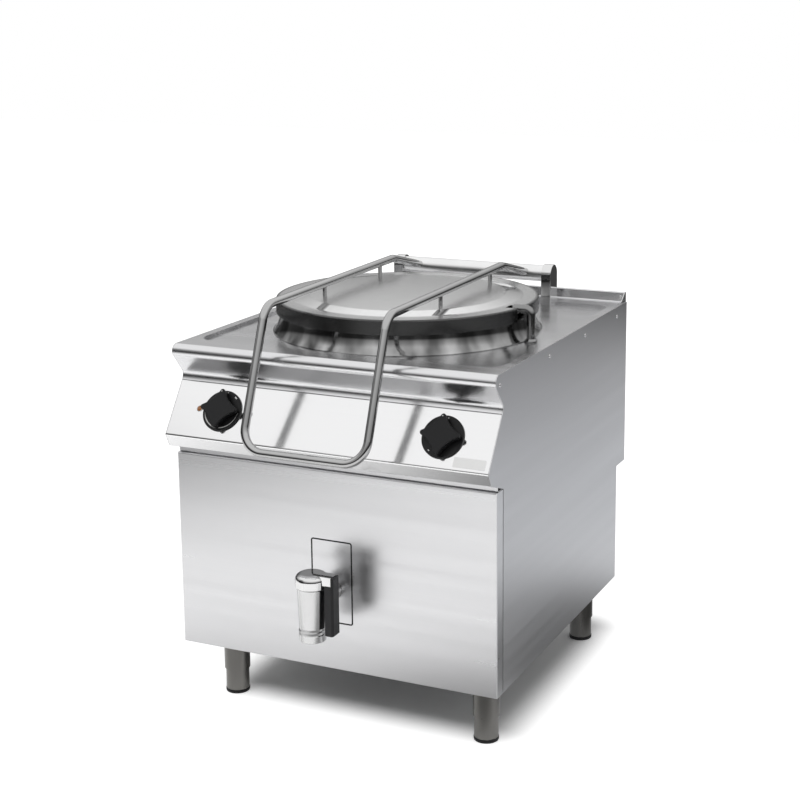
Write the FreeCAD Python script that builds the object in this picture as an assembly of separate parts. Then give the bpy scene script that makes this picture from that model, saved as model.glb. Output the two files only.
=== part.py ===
"""Direct-heated gas boiling kettle of 150 litres, free-standing, built as an assembly of separate pieces.

The appliance is drawn with X to the right, Y to the back and Z up, in millimetres. While it is drawn,
Y is 0 on the front panel's face and Z is 0 on the floor. Each piece is then moved so that the origin lies
at the middle of the whole appliance's footprint, and is written as one STEP file.
"""

import FreeCAD
import Part
import math
import os
from FreeCAD import Rotation, Vector

# Vessel, and the room that the cabinet leaves round it.
VESSEL_R = 300.0
VESSEL_DEPTH = 540.0
SIDE_ROOM = 100.0
FRONT_ROOM = 108.0
REAR_ROOM = 105.0
UPPER_OVERHANG = 65.0

# Cabinet: height of its bottom and of the step in its back, sheet thicknesses and folds.
CABINET_BOTTOM_Z = 157.0
STEP_RISE = 300.0
SHEET = 1.5
WORKTOP_SHEET = 2.0
SEAM = 0.3
FLANGE = 18.0

# Front profile, shared by worktop, control fascia and side panels: corners of the bent outline.
NOSE_CORNER_Y = -25.4
NOSE_R = 16.5
COVE_CORNER_Y = 39.1
COVE_DROP = 76.8
COVE_R = 18.5
FOOT_CORNER_Y = -46.4
FOOT_DROP = 202.1
FOOT_R = 6.0
LIP_Y = -32.0
LIP_DROP = 232.0
COVE_TAIL = 1.5
FASCIA_GAP = 1.5
FASCIA_RETURN = 18.0
LIP_RETURN = 62.0

# Front panel and the plate round the tap's pipe.
FRONT_DEPTH = 33.0
FRONT_GROOVE = 3.0
FRONT_TOP_GAP = 24.0
FRONT_ROUND = 3.0
COVER_WIDTH = 103.0
COVER_HEIGHT = 195.0
COVER_RISE = 17.5
COVER_ROUND = 6.0
TRIM_WIDTH = 3.0
TRIM_DEPTH = 3.0
TRIM_PROUD = 0.6
TRIM_FIT = 0.1
RAIL_DEPTH = 26.0
RAIL_FRONT_Y = 8.0

# Worktop: pressed recess, upstand and side flanges.
RECESS_DEPTH = 7.0
RECESS_MARGIN = 23.0
RECESS_FRONT_Y = 62.0
RECESS_REAR_MARGIN = 66.0
RECESS_ROUND = 40.0
UPSTAND_DEPTH = 10.0
UPSTAND_RISE = 26.0
CHEEK_LENGTH = 27.0
CHEEK_RISE = 7.0
WORKTOP_SKIRT = 40.0

# Vessel's sheet, collar and heating chamber.
VESSEL_WALL = 2.0
VESSEL_KNUCKLE = 55.0
BOTTOM_FLANGE = 20.0
RIM_RISE = 58.0
RIM_WIDTH = 5.5
COLLAR_FLARE = 16.0
COLLAR_SLOPE = 1.25
COLLAR_WALL = 1.5
COLLAR_LIP = 2.0
SHELL_GAP = 33.0
SHELL_WALL = 1.5
INSULATION = 20.0
INSULATION_FIT = 0.5
SHELL_TOP_GAP = 50.0

# Lid.
LID_OVERHANG = 15.0
LID_SHEET = 1.5
LID_SKIRT = 34.0
LID_FLANGE_RISE = 15.0
LID_EDGE_ROUND = 3.0
LID_BORDER = 40.0
LID_OGEE = 39.0
LID_OGEE_ROUND = 40.0
LID_CROWN_FLAT = 12.0
LID_STEP_RISE = 7.0
LID_CROWN_RISE = 12.0
NOTCH_HALF = 15.0
NOTCH_DEPTH = 36.0
LID_RING_WIDTH = 8.0

# Lid frame of one bent tube, its stay pins and the hinge.
FRAME_X = 150.0
FRAME_TUBE_R = 9.75
FRAME_WALL = 1.5
FRAME_FRONT_Y = -7.0
FRAME_OVER_LID = 36.0
FRAME_PEAK_BEHIND = 227.0
FRAME_PEAK_RISE = 7.0
FRAME_BAR_Y = -124.4
FRAME_BAR_DROP = 192.0
FRAME_FRONT_BEND = 45.0
FRAME_PEAK_BEND = 40.0
FRAME_BAR_BEND = 52.0
PIN_R = 5.0
PIN_AHEAD = 139.0
PIN_BEHIND = 155.0
HINGE_BEHIND = 5.0
HINGE_DROP = 2.5
HINGE_TUBE_R = 21.0
HINGE_TUBE_WALL = 3.0
AXLE_R = 10.0
AXLE_FIT = 0.09
SEAT_FIT = 0.1
BUSH_LENGTH = 30.0
BRACKET_X = 197.0
BRACKET_THICK = 26.0
BRACKET_HALF = 25.0
BRACKET_GAP = 0.5
BRACKET_EDGE = 2.0

# Water filler spout.
SPOUT_OUT = 36.0
SPOUT_AHEAD = 48.0
SPOUT_TUBE_R = 9.75
SPOUT_WALL = 1.0
SPOUT_FIT = 0.3
SPOUT_BASE_DROP = 5.0
SPOUT_OVER_RIM = 12.0
SPOUT_REACH = 42.0
SPOUT_BEND = 13.0
FERRULE_R = 15.0
FERRULE_HEIGHT = 9.0

# Draw-off tap, on a vertical axis in front of the panel: heights from the drain pipe's axis.
TAP_Y = -93.0
TAP_RISE = 38.0
TAP_DROP = 84.0
TAP_TOP_R = 33.0
TAP_FOOT_R = 30.0
TAP_RING_DROP = 52.0
TAP_CAP_R = 37.0
TAP_CAP_HEIGHT = 32.0
TAP_CAP_ROUND = 14.0
TAP_BORE_R = 22.0
PLUG_FIT = 0.05
OUTLET_R = 18.0
PLUG_SEAT_DROP = 48.0
PORT_R = 15.0
TAP_GROOVE = 1.5
TONGUE_REACH = 55.0
TONGUE_HALF = 15.0
TONGUE_HEIGHT = 20.0
GRIP_INNER_X = 40.0
GRIP_CHEEK = 5.0
GRIP_DROP = 2.0
GRIP_DEPTH = 34.0
GRIP_LOW_DROP = 65.0
GRIP_CHAMFER = 4.5
DRAIN_BELOW_FLOOR = 48.0
DRAIN_R = 24.0
DRAIN_WALL = 2.0
DRAIN_FROM_WALL = 85.0
DRAIN_BEND = 40.0
UNION_Y = -40.0
UNION_LENGTH = 24.0
UNION_FLAT = 56.0
PIPE_CLEARANCE = 0.5

# Controls on the sloping fascia: distances run down the panel from the cove's corner.
CONTROL_ROW = 81.4
LEFT_KNOB_INSET = 131.0
RIGHT_KNOB_INSET = 121.0
DIAL_R = 48.5
DIAL_THICK = 5.0
DIAL_CHAMFER = 1.5
KNOB_LOBE_R = 46.0
KNOB_TIP_R = 9.0
KNOB_WAIST_R = 27.0
KNOB_HEIGHT = 19.0
KNOB_GAP = 0.4
KNOB_EDGE = 2.0
KNOB_TIP_SWEEP = 80.0
KNOB_TURN = 91.0
SPINDLE_R = 4.0
SPINDLE_FIT = 0.05
SPINDLE_HOLE_R = 5.5
SPINDLE_IN_KNOB = 12.0
SPINDLE_IN_VALVE = 20.0
VALVE_WIDTH = 56.0
VALVE_HEIGHT = 62.0
VALVE_DEPTH = 62.0
VALVE_NECK_R = 14.0
VALVE_NECK = 12.0
LAMP_INSET = 70.5
LAMP_R = 6.0
LAMP_BODY_R = 5.0
LAMP_BODY_LENGTH = 26.0
LAMP_RISE = 3.0
IGNITER_INSET = 196.5
IGNITER_BEZEL_R = 11.0
IGNITER_BEZEL = 2.5
IGNITER_BUTTON_R = 7.5
IGNITER_TRAVEL = 4.0
IGNITER_LENGTH = 34.0
IGNITER_WALL = 2.0
BUTTON_PROUD = 5.5
BUTTON_IN = 12.0
BUTTON_FIT = 0.06
BUTTON_CROWN = 1.0

# Gas burner under the vessel.
BURNER_OVER_BASE = 88.0
BURNER_BELOW_FLOOR = 111.0
BAR_R = 16.0
BAR_PITCH = 140.0
BAR_COUNT = 4
BAR_LENGTH = 370.0
BAR_SLOTS = 7
SLOT_WIDTH = 3.0
SLOT_DEPTH = 3.0
MANIFOLD_R = 14.0
MANIFOLD_AHEAD = 202.0
PILOT_R = 6.0
BURNER_LEG = 26.0
BURNER_LEG_THICK = 3.0
PIPE_R = 7.5
PIPE_BEND = 16.0
PIPE_TO_BLANKET = 9.0
PIPE_LANE_GAP = 24.0

# Inlets low on the rear.
INLET_INSET = 100.0
INLET_RISE = 83.0
THREAD_R = 10.48
THREAD_LENGTH = 22.0
UNION_NUT_R = 17.0
UNION_NUT_LENGTH = 12.0
LOCK_NUT_LENGTH = 6.0

# Flue.
FLUE_WIDTH = 220.0
FLUE_HEIGHT = 70.0
FLUE_DROP = 138.0
FLUE_SHEET = 1.5
GRILLE_BORDER = 14.0
GRILLE_THICK = 2.0
GRILLE_SLOTS = 5
GRILLE_SLOT = 6.0
AIR_SLOT_HALF = 45.0
AIR_SLOT_HEIGHT = 6.0
AIR_SLOT_PITCH = 16.0
AIR_SLOT_ROWS = 5

# Base frame and feet.
BASE_HEIGHT = 40.0
BASE_RAIL = 60.0
BASE_SHEET = 3.0
GUSSET = 128.0
GUSSET_THICK = 4.0
FOOT_SIDE_INSET = 73.0
FOOT_FRONT_INSET = 79.0
FOOT_REAR_INSET = 58.0
SLEEVE_R = 31.0
SLEEVE_BOTTOM_Z = 60.0
SLEEVE_CAP = 5.0
STEM_R = 28.0
FOOT_FIT = 0.06
PAD_R = 29.0
PAD_THICK = 5.0

# Small screws.
SCREW_HEAD_R = 4.5
SCREW_HEAD = 1.8
SCREW_R = 2.0
SCREW_HOLE_R = 2.2
SCREW_LENGTH = 9.0
SIDE_SCREW_FRONT_Y = 16.0
SIDE_SCREW_REAR = 80.0
SIDE_SCREW_PITCH = 243.0
SIDE_SCREW_DROP = 24.0
UPSTAND_SCREW_INSET = 14.0

# Plan of the cabinet round the vessel, worked out from the sizes above.
WIDTH = 2 * (VESSEL_R + SIDE_ROOM)
HALF = WIDTH / 2
INNER_HALF = HALF - SHEET - SEAM
KETTLE_Y = FRONT_ROOM + VESSEL_R
LOWER_REAR_Y = KETTLE_Y + VESSEL_R + REAR_ROOM
REAR_Y = LOWER_REAR_Y + UPPER_OVERHANG
SIDE_FRONT_Y = FRONT_DEPTH + FRONT_GROOVE
RECESS_REAR_Y = REAR_Y - RECESS_REAR_MARGIN
UPSTAND_Y = REAR_Y - UPSTAND_DEPTH
SIDE_SCREW_REAR_Y = REAR_Y - SIDE_SCREW_REAR
SIDE_SCREW_YS = (SIDE_SCREW_FRONT_Y, SIDE_SCREW_REAR_Y - 2 * SIDE_SCREW_PITCH,
                 SIDE_SCREW_REAR_Y - SIDE_SCREW_PITCH, SIDE_SCREW_REAR_Y)
FOOT_X = HALF - FOOT_SIDE_INSET
FOOT_FRONT_Y = SIDE_FRONT_Y + FOOT_FRONT_INSET
FOOT_REAR_Y = LOWER_REAR_Y - FOOT_REAR_INSET
INLET_X = HALF - INLET_INSET

# Heights from the base up to the worktop, with the burner and the vessel's floor between them.
BASE_TOP_Z = CABINET_BOTTOM_Z + BASE_HEIGHT
STEP_Z = CABINET_BOTTOM_Z + STEP_RISE
INLET_Z = CABINET_BOTTOM_Z + INLET_RISE
BURNER_Z = BASE_TOP_Z + BURNER_OVER_BASE
VESSEL_FLOOR_Z = BURNER_Z + BURNER_BELOW_FLOOR
WELD_Z = VESSEL_FLOOR_Z + VESSEL_KNUCKLE + BOTTOM_FLANGE
RIM_Z = VESSEL_FLOOR_Z + VESSEL_DEPTH
WORKTOP_Z = RIM_Z - RIM_RISE
RECESS_Z = WORKTOP_Z - RECESS_DEPTH
LIP_Z = WORKTOP_Z - LIP_DROP
FRONT_TOP_Z = LIP_Z - FRONT_TOP_GAP
FLUE_Z = WORKTOP_Z - FLUE_DROP
SHELL_TOP_Z = RECESS_Z - SHELL_TOP_GAP

# Chamber, burner, pipes and spout round the vessel.
VESSEL_OUT_R = VESSEL_R + VESSEL_WALL
SHELL_R = VESSEL_OUT_R + SHELL_GAP
BLANKET_R = SHELL_R + INSULATION_FIT + INSULATION
PIPE_LANE_X = BLANKET_R + PIPE_TO_BLANKET + PIPE_R
MANIFOLD_Y = KETTLE_Y - MANIFOLD_AHEAD
DRAIN_Y = KETTLE_Y - VESSEL_R + DRAIN_FROM_WALL
DRAIN_Z = VESSEL_FLOOR_Z - DRAIN_BELOW_FLOOR
SPOUT_X = VESSEL_R + SPOUT_OUT
SPOUT_Y = KETTLE_Y - SPOUT_AHEAD
SPOUT_BASE_Z = RECESS_Z - SPOUT_BASE_DROP
SPOUT_TOP_Z = RIM_Z + SPOUT_OVER_RIM

# Lid, its frame and its hinge.
LID_R = VESSEL_R + LID_OVERHANG
LID_STEP_R = LID_R - LID_BORDER
LID_CROWN_R = LID_STEP_R - LID_OGEE
LID_FLANGE_Z = RIM_Z + LID_FLANGE_RISE
FRAME_FRONT_Z = LID_FLANGE_Z + FRAME_OVER_LID
FRAME_PEAK_Y = KETTLE_Y + FRAME_PEAK_BEHIND
FRAME_PEAK_Z = FRAME_FRONT_Z + FRAME_PEAK_RISE
FRAME_BAR_Z = WORKTOP_Z - FRAME_BAR_DROP
PIN_YS = (KETTLE_Y - PIN_AHEAD, KETTLE_Y + PIN_BEHIND)
HINGE_Y = RECESS_REAR_Y + HINGE_BEHIND
HINGE_Z = LID_FLANGE_Z - HINGE_DROP

# Tap and controls.
COVER_Z = DRAIN_Z + COVER_RISE
TAP_TOP_Z = DRAIN_Z + TAP_RISE
TAP_BOTTOM_Z = DRAIN_Z - TAP_DROP
TAP_RING_Z = DRAIN_Z - TAP_RING_DROP
PLUG_SEAT_Z = DRAIN_Z - PLUG_SEAT_DROP
GRIP_BOTTOM_Z = DRAIN_Z - GRIP_LOW_DROP
CAP_Z = TAP_TOP_Z + SEAM
LEFT_KNOB_X = LEFT_KNOB_INSET - HALF
RIGHT_KNOB_X = HALF - RIGHT_KNOB_INSET
LAMP_X = LAMP_INSET - HALF
IGNITER_X = IGNITER_INSET - HALF
OUTER_BAR_X = (BAR_COUNT - 1) * BAR_PITCH / 2
GAS_FEED_X = -OUTER_BAR_X
CENTRE_Y = (FRAME_BAR_Y - FRAME_TUBE_R + REAR_Y) / 2
X_AXIS = Vector(1, 0, 0)
Y_AXIS = Vector(0, 1, 0)
Z_AXIS = Vector(0, 0, 1)


def box(x0, x1, y0, y1, z0, z1):
    """Block between the given planes."""
    return Part.makeBox(x1 - x0, y1 - y0, z1 - z0, Vector(x0, y0, z0))


def rod(radius, start, axis, length):
    """Round bar from its start along an axis."""
    return Part.makeCylinder(radius, length, start, axis)


def ring(outer, inner, start, axis, length):
    """Round bar with a bore."""
    return rod(outer, start, axis, length).cut(rod(inner, start, axis, length))


def mirrored(shape):
    """Copy on the other side of the middle plane."""
    return shape.mirror(Vector(0, 0, 0), X_AXIS)


def around(angle, radius):
    """Flat vector of the given length and direction."""
    return Vector(radius * math.cos(angle), radius * math.sin(angle), 0)


def joined(shapes):
    """One solid from pieces that meet."""
    return shapes[0].multiFuse(shapes[1:]).removeSplitter()


def rounded_edges(points, radii, closed=False):
    """Straight and round edges through the points, each corner with its own radius."""
    count = len(points)
    starts = []
    ends = []
    arcs = []
    for i, point in enumerate(points):
        corner = closed or 0 < i < count - 1
        if not corner or radii[i] <= 0:
            starts.append(point)
            ends.append(point)
            arcs.append(None)
            continue
        back = (points[i - 1] - point).normalize()
        ahead = (points[(i + 1) % count] - point).normalize()
        half = back.getAngle(ahead) / 2
        reach = radii[i] / math.tan(half)
        sag = radii[i] / math.sin(half) - radii[i]
        middle = (back + ahead).normalize()
        starts.append(point + back * reach)
        ends.append(point + ahead * reach)
        arcs.append(Part.Arc(starts[i], point + middle * sag, ends[i]).toShape())
    edges = []
    for i in range(count):
        if arcs[i]:
            edges.append(arcs[i])
        following = (i + 1) % count
        if following == 0 and not closed:
            break
        if (starts[following] - ends[i]).Length > 1e-6:
            edges.append(Part.makeLine(ends[i], starts[following]))
    return edges


def outline(points, radii):
    """Closed flat face with rounded corners."""
    return Part.Face(Part.Wire(rounded_edges(points, radii, closed=True)))


def offset_path(points, radii, distance):
    """Path of 2D points moved to its left by a distance, with the radii that keep the sheet even."""
    directions = []
    for a, b in zip(points, points[1:]):
        length = math.hypot(b[0] - a[0], b[1] - a[1])
        directions.append(((b[0] - a[0]) / length, (b[1] - a[1]) / length))
    moved = []
    new_radii = []
    for i, (u, v) in enumerate(points):
        before = directions[max(i - 1, 0)]
        after = directions[min(i, len(directions) - 1)]
        turn = before[0] * after[1] - before[1] * after[0]
        normal = (-before[1] - after[1], before[0] + after[0])
        scale = distance / (1 + before[0] * after[0] + before[1] * after[1])
        moved.append((u + normal[0] * scale, v + normal[1] * scale))
        shift = -distance if turn > 0 else distance
        new_radii.append(max(radii[i] + shift, 0.0) if radii[i] > 0 else 0.0)
    return moved, new_radii


def sheet_face(points, radii, thickness, lift):
    """Face of a bent sheet's section: the path is one skin, and the sheet lies to its left."""
    inner, inner_radii = offset_path(points, radii, thickness)
    skin = rounded_edges([lift(*p) for p in points], radii)
    back = rounded_edges([lift(*p) for p in inner], inner_radii)
    start = Part.makeLine(lift(*inner[0]), lift(*points[0]))
    end = Part.makeLine(lift(*points[-1]), lift(*inner[-1]))
    return Part.Face(Part.Wire(Part.__sortEdges__(skin + back + [start, end])))


def side_view(u, v):
    """Point of the YZ plane."""
    return Vector(0, u, v)


def radial_view(u, v):
    """Point at a radius and a height, in the plane that is turned about the kettle's axis."""
    return Vector(u, KETTLE_Y, v)


def bent_along_x(points, radii, thickness, x0, x1):
    """Bent sheet of constant section between two X planes."""
    face = sheet_face(points, radii, thickness, side_view)
    face.translate(Vector(x0, 0, 0))
    return face.extrude(Vector(x1 - x0, 0, 0))


def turned(face, y=KETTLE_Y):
    """Solid of revolution about a vertical axis in the middle plane."""
    return face.revolve(Vector(0, y, 0), Z_AXIS, 360)


def turned_outline(points, y, radii=None):
    """Solid of revolution from a closed outline of radius and height pairs."""
    corners = [Vector(r, y, z) for r, z in points]
    return turned(outline(corners, radii or [0] * len(corners)), y)


def bent_tube(points, radii, outer, inner):
    """Bent round tube along straight runs joined by tangent arcs."""
    path = Part.Wire(rounded_edges(points, radii))
    along = (points[1] - points[0]).normalize()
    tube = path.makePipe(Part.Face(Part.Wire(Part.makeCircle(outer, points[0], along))))
    if inner > 0:
        tube = tube.cut(path.makePipe(Part.Face(Part.Wire(Part.makeCircle(inner, points[0], along)))))
    return tube


def rounded_plate(x0, x1, z0, z1, radius, y0, depth):
    """Upright plate with rounded corners, its front at y0."""
    corners = [Vector(x0, y0, z0), Vector(x1, y0, z0), Vector(x1, y0, z1), Vector(x0, y0, z1)]
    return outline(corners, [radius] * 4).extrude(Vector(0, depth, 0))


def rounded_block(x0, x1, y0, y1, radius, z0, height):
    """Level block with rounded upright corners."""
    corners = [Vector(x0, y0, z0), Vector(x1, y0, z0), Vector(x1, y1, z0), Vector(x0, y1, z0)]
    return outline(corners, [radius] * 4).extrude(Vector(0, 0, height))


def front_profile():
    """Corners and radii of the front outline, from the worktop down to the fascia's lip."""
    nose = (NOSE_CORNER_Y, WORKTOP_Z)
    cove = (COVE_CORNER_Y, WORKTOP_Z - COVE_DROP)
    foot = (FOOT_CORNER_Y, WORKTOP_Z - FOOT_DROP)
    return nose, cove, foot, (LIP_Y, LIP_Z)


def down_panel():
    """Unit direction down the sloping fascia, in the YZ plane."""
    nose, cove, foot, lip = front_profile()
    length = math.hypot(foot[0] - cove[0], foot[1] - cove[1])
    return (foot[0] - cove[0]) / length, (foot[1] - cove[1]) / length


def panel_point(distance):
    """Point of the fascia's face at a distance down from the cove's corner."""
    direction = down_panel()
    return COVE_CORNER_Y + direction[0] * distance, WORKTOP_Z - COVE_DROP + direction[1] * distance


def on_fascia(shape, x):
    """Places a shape drawn round the Z axis so that it stands square on the fascia in the control row."""
    direction = down_panel()
    y, z = panel_point(CONTROL_ROW)
    lean = math.degrees(math.atan2(-direction[1], -direction[0]))
    placed = shape.copy()
    placed.Placement = FreeCAD.Placement(Vector(x, y, z), Rotation(X_AXIS, lean))
    return placed


def screw(start, axis):
    """Pan-head screw: its head stands on the surface and its shank goes in against the axis."""
    head = rod(SCREW_HEAD_R, start, axis, SCREW_HEAD)
    crown = [edge for edge in head.Edges if (edge.CenterOfMass - start).dot(axis) > SCREW_HEAD / 2]
    rims = [edge for edge in crown if edge.Closed and len(edge.Vertexes) == 1]
    head = head.makeFillet(SCREW_HEAD / 2, rims)
    return head.fuse(rod(SCREW_R, start - axis * SCREW_LENGTH, axis, SCREW_LENGTH))


def side_screw_points():
    """Places of the screws that hold one side panel to the worktop's skirt."""
    return [Vector(HALF, y, WORKTOP_Z - SIDE_SCREW_DROP) for y in SIDE_SCREW_YS]


def upstand_screw_point():
    """Place of the screw at the right end of the upstand."""
    return Vector(HALF - UPSTAND_SCREW_INSET, UPSTAND_Y, WORKTOP_Z + UPSTAND_RISE / 2)


def screw_hole(start, axis):
    """Clearance hole for a screw."""
    return rod(SCREW_HOLE_R, start - axis * (SCREW_LENGTH + 1), axis, SCREW_LENGTH + 2)


def base_frame():
    """Frame of inverted channels with two bearers under the heating chamber and four foot gussets."""
    front = SIDE_FRONT_Y + SHEET + SEAM
    rear = LOWER_REAR_Y - 2 * SHEET - 2 * SEAM
    windows = []
    bearer_in = OUTER_BAR_X - BASE_RAIL / 2
    bearer_out = OUTER_BAR_X + BASE_RAIL / 2
    for x0, x1 in ((-INNER_HALF + BASE_RAIL, -bearer_out), (-bearer_in, bearer_in),
                   (bearer_out, INNER_HALF - BASE_RAIL)):
        windows.append((x0, x1, front + BASE_RAIL, rear - BASE_RAIL))
    frame = box(-INNER_HALF, INNER_HALF, front, rear, CABINET_BOTTOM_Z, BASE_TOP_Z)
    hollow = box(-INNER_HALF + BASE_SHEET, INNER_HALF - BASE_SHEET, front + BASE_SHEET, rear - BASE_SHEET,
                 CABINET_BOTTOM_Z - 1, BASE_TOP_Z - BASE_SHEET)
    for x0, x1, y0, y1 in windows:
        frame = frame.cut(box(x0, x1, y0, y1, CABINET_BOTTOM_Z - 1, BASE_TOP_Z + 1))
        hollow = hollow.cut(box(x0 - BASE_SHEET, x1 + BASE_SHEET, y0 - BASE_SHEET, y1 + BASE_SHEET,
                                CABINET_BOTTOM_Z - 2, BASE_TOP_Z))
    frame = frame.cut(hollow)
    gussets = []
    for x0, x1 in ((-INNER_HALF, -INNER_HALF + GUSSET), (INNER_HALF - GUSSET, INNER_HALF)):
        for y0, y1 in ((front, front + GUSSET), (rear - GUSSET, rear)):
            gussets.append(box(x0, x1, y0, y1, CABINET_BOTTOM_Z, CABINET_BOTTOM_Z + GUSSET_THICK))
    return joined([frame] + gussets)


def side_panel():
    """Right side panel: one sheet with the front profile, a stepped back and folded flanges."""
    nose, cove, foot, lip = front_profile()
    corners = [(SIDE_FRONT_Y, CABINET_BOTTOM_Z), (LOWER_REAR_Y, CABINET_BOTTOM_Z), (LOWER_REAR_Y, STEP_Z),
               (REAR_Y, STEP_Z), (REAR_Y, WORKTOP_Z), nose, cove, foot, lip,
               (SIDE_FRONT_Y, FRONT_TOP_Z + SEAM)]
    radii = [0, 0, 0, 0, 0, NOSE_R, COVE_R, FOOT_R, 0, 0]
    plate = outline([Vector(HALF - SHEET, u, v) for u, v in corners], radii).extrude(Vector(SHEET, 0, 0))
    x0 = HALF - FLANGE
    x1 = HALF - SHEET / 2
    low_back = LOWER_REAR_Y - SHEET - SEAM
    high_back = REAR_Y - SHEET - SEAM
    flanges = [
        box(x0, x1, SIDE_FRONT_Y, SIDE_FRONT_Y + SHEET, CABINET_BOTTOM_Z, FRONT_TOP_Z - SHEET),
        box(x0, x1, low_back - SHEET, low_back, CABINET_BOTTOM_Z, STEP_Z - SHEET),
        box(x0, x1, high_back - SHEET, high_back, STEP_Z + 2 * SHEET, WORKTOP_Z - WORKTOP_SKIRT - SEAM)]
    panel = joined([plate] + flanges)
    for point in side_screw_points():
        panel = panel.cut(screw_hole(point, X_AXIS))
    return panel


def rear_panel():
    """Stepped rear sheet with openings for the flue, the two inlets and rows of air slots."""
    path = [(LOWER_REAR_Y, CABINET_BOTTOM_Z), (LOWER_REAR_Y, STEP_Z), (REAR_Y, STEP_Z),
            (REAR_Y, WORKTOP_Z - WORKTOP_SHEET - SEAM)]
    panel = bent_along_x(path, [0, 2 * SHEET, 2 * SHEET, 0], SHEET, -INNER_HALF, INNER_HALF)
    half = FLUE_WIDTH / 2 - FLUE_SHEET - SEAM
    panel = panel.cut(box(-half, half, REAR_Y - 3 * SHEET, REAR_Y + 1, FLUE_Z + FLUE_SHEET + SEAM,
                          FLUE_Z + FLUE_HEIGHT - FLUE_SHEET - SEAM))
    for x in (-INLET_X, INLET_X):
        panel = panel.cut(rod(THREAD_R + PIPE_CLEARANCE, Vector(x, LOWER_REAR_Y - 2 * FLANGE, INLET_Z),
                              Y_AXIS, 3 * FLANGE))
    for x in (-INLET_X / 2, INLET_X / 2):
        for row in range(AIR_SLOT_ROWS):
            z = INLET_Z + row * AIR_SLOT_PITCH
            panel = panel.cut(box(x - AIR_SLOT_HALF, x + AIR_SLOT_HALF, LOWER_REAR_Y - 3 * SHEET,
                                  LOWER_REAR_Y + 1, z, z + AIR_SLOT_HEIGHT))
    return panel


def front_rail():
    """Channel behind the gap over the front panel, which carries the fascia's lip."""
    top = LIP_Z - SEAM
    bottom = FRONT_TOP_Z + SEAM
    back = RAIL_FRONT_Y + RAIL_DEPTH
    path = [(back, top), (RAIL_FRONT_Y, top), (RAIL_FRONT_Y, bottom), (back, bottom)]
    return bent_along_x(path, [0, 2 * SHEET, 2 * SHEET, 0], SHEET, -INNER_HALF, INNER_HALF)


def corner_reach(before, corner, after, radius):
    """Distance from a corner to where its rounding meets the straight."""
    back = Vector(before[0] - corner[0], before[1] - corner[1], 0)
    ahead = Vector(after[0] - corner[0], after[1] - corner[1], 0)
    return radius / math.tan(back.getAngle(ahead) / 2)


def cove_end():
    """Distance down the fascia's line at which the worktop's cove ends."""
    nose, cove, foot, lip = front_profile()
    return corner_reach(nose, cove, foot, COVE_R) + COVE_TAIL


def worktop():
    """Pressed worktop: bull-nose and cove in front, recessed field, side skirts and rear upstand."""
    nose, cove, foot, lip = front_profile()
    tail_y = REAR_Y - SHEET - SEAM
    crest = WORKTOP_Z + UPSTAND_RISE
    end = panel_point(cove_end())
    path = [(tail_y, WORKTOP_Z - WORKTOP_SKIRT), (tail_y, crest), (UPSTAND_Y, crest),
            (UPSTAND_Y, WORKTOP_Z), nose, cove, end]
    radii = [0, 1.5 * WORKTOP_SHEET, 1.5 * WORKTOP_SHEET, 1.5 * WORKTOP_SHEET, NOSE_R, COVE_R, 0]
    top = bent_along_x(path, radii, WORKTOP_SHEET, -INNER_HALF, INNER_HALF)
    edge = HALF - RECESS_MARGIN
    floor = RECESS_Z - WORKTOP_SHEET
    wall = WORKTOP_SHEET
    pan = rounded_block(-edge - wall, edge + wall, RECESS_FRONT_Y - wall, RECESS_REAR_Y + wall,
                        RECESS_ROUND + wall, floor, WORKTOP_Z - wall / 2 - floor)
    field = rounded_block(-edge, edge, RECESS_FRONT_Y, RECESS_REAR_Y, RECESS_ROUND, RECESS_Z,
                          WORKTOP_Z + wall - RECESS_Z)
    x0 = INNER_HALF - WORKTOP_SHEET
    region = [Vector(x0, u, v) for u, v in ((tail_y, end[1]), (tail_y, WORKTOP_Z), nose, cove, end)]
    skirt = outline(region, [0, 0, NOSE_R, COVE_R, 0]).extrude(Vector(WORKTOP_SHEET, 0, 0))
    skirt = skirt.common(box(x0, INNER_HALF, -WIDTH, REAR_Y, WORKTOP_Z - WORKTOP_SKIRT, WORKTOP_Z))
    for point in side_screw_points():
        skirt = skirt.cut(screw_hole(point, X_AXIS))
    cheek_y = UPSTAND_Y - CHEEK_LENGTH
    cheek = [(cheek_y, WORKTOP_Z - wall / 2), (tail_y, WORKTOP_Z - wall / 2), (tail_y, crest),
             (UPSTAND_Y, crest), (cheek_y, WORKTOP_Z + CHEEK_RISE)]
    ends = outline([Vector(x0, u, v) for u, v in cheek], [0] * 5).extrude(Vector(WORKTOP_SHEET, 0, 0))
    top = joined([top.cut(field), pan.cut(field), skirt, mirrored(skirt), ends, mirrored(ends)])
    top = top.cut(rod(VESSEL_OUT_R + VESSEL_WALL, Vector(0, KETTLE_Y, floor - 1), Z_AXIS, WORKTOP_SKIRT))
    top = top.cut(rod(SPOUT_TUBE_R + SPOUT_FIT, Vector(SPOUT_X, SPOUT_Y, floor - 1), Z_AXIS,
                      WORKTOP_SKIRT))
    screw_place = upstand_screw_point()
    for x in (-screw_place.x, screw_place.x):
        top = top.cut(screw_hole(Vector(x, screw_place.y, screw_place.z), -Y_AXIS))
    return top


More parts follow.
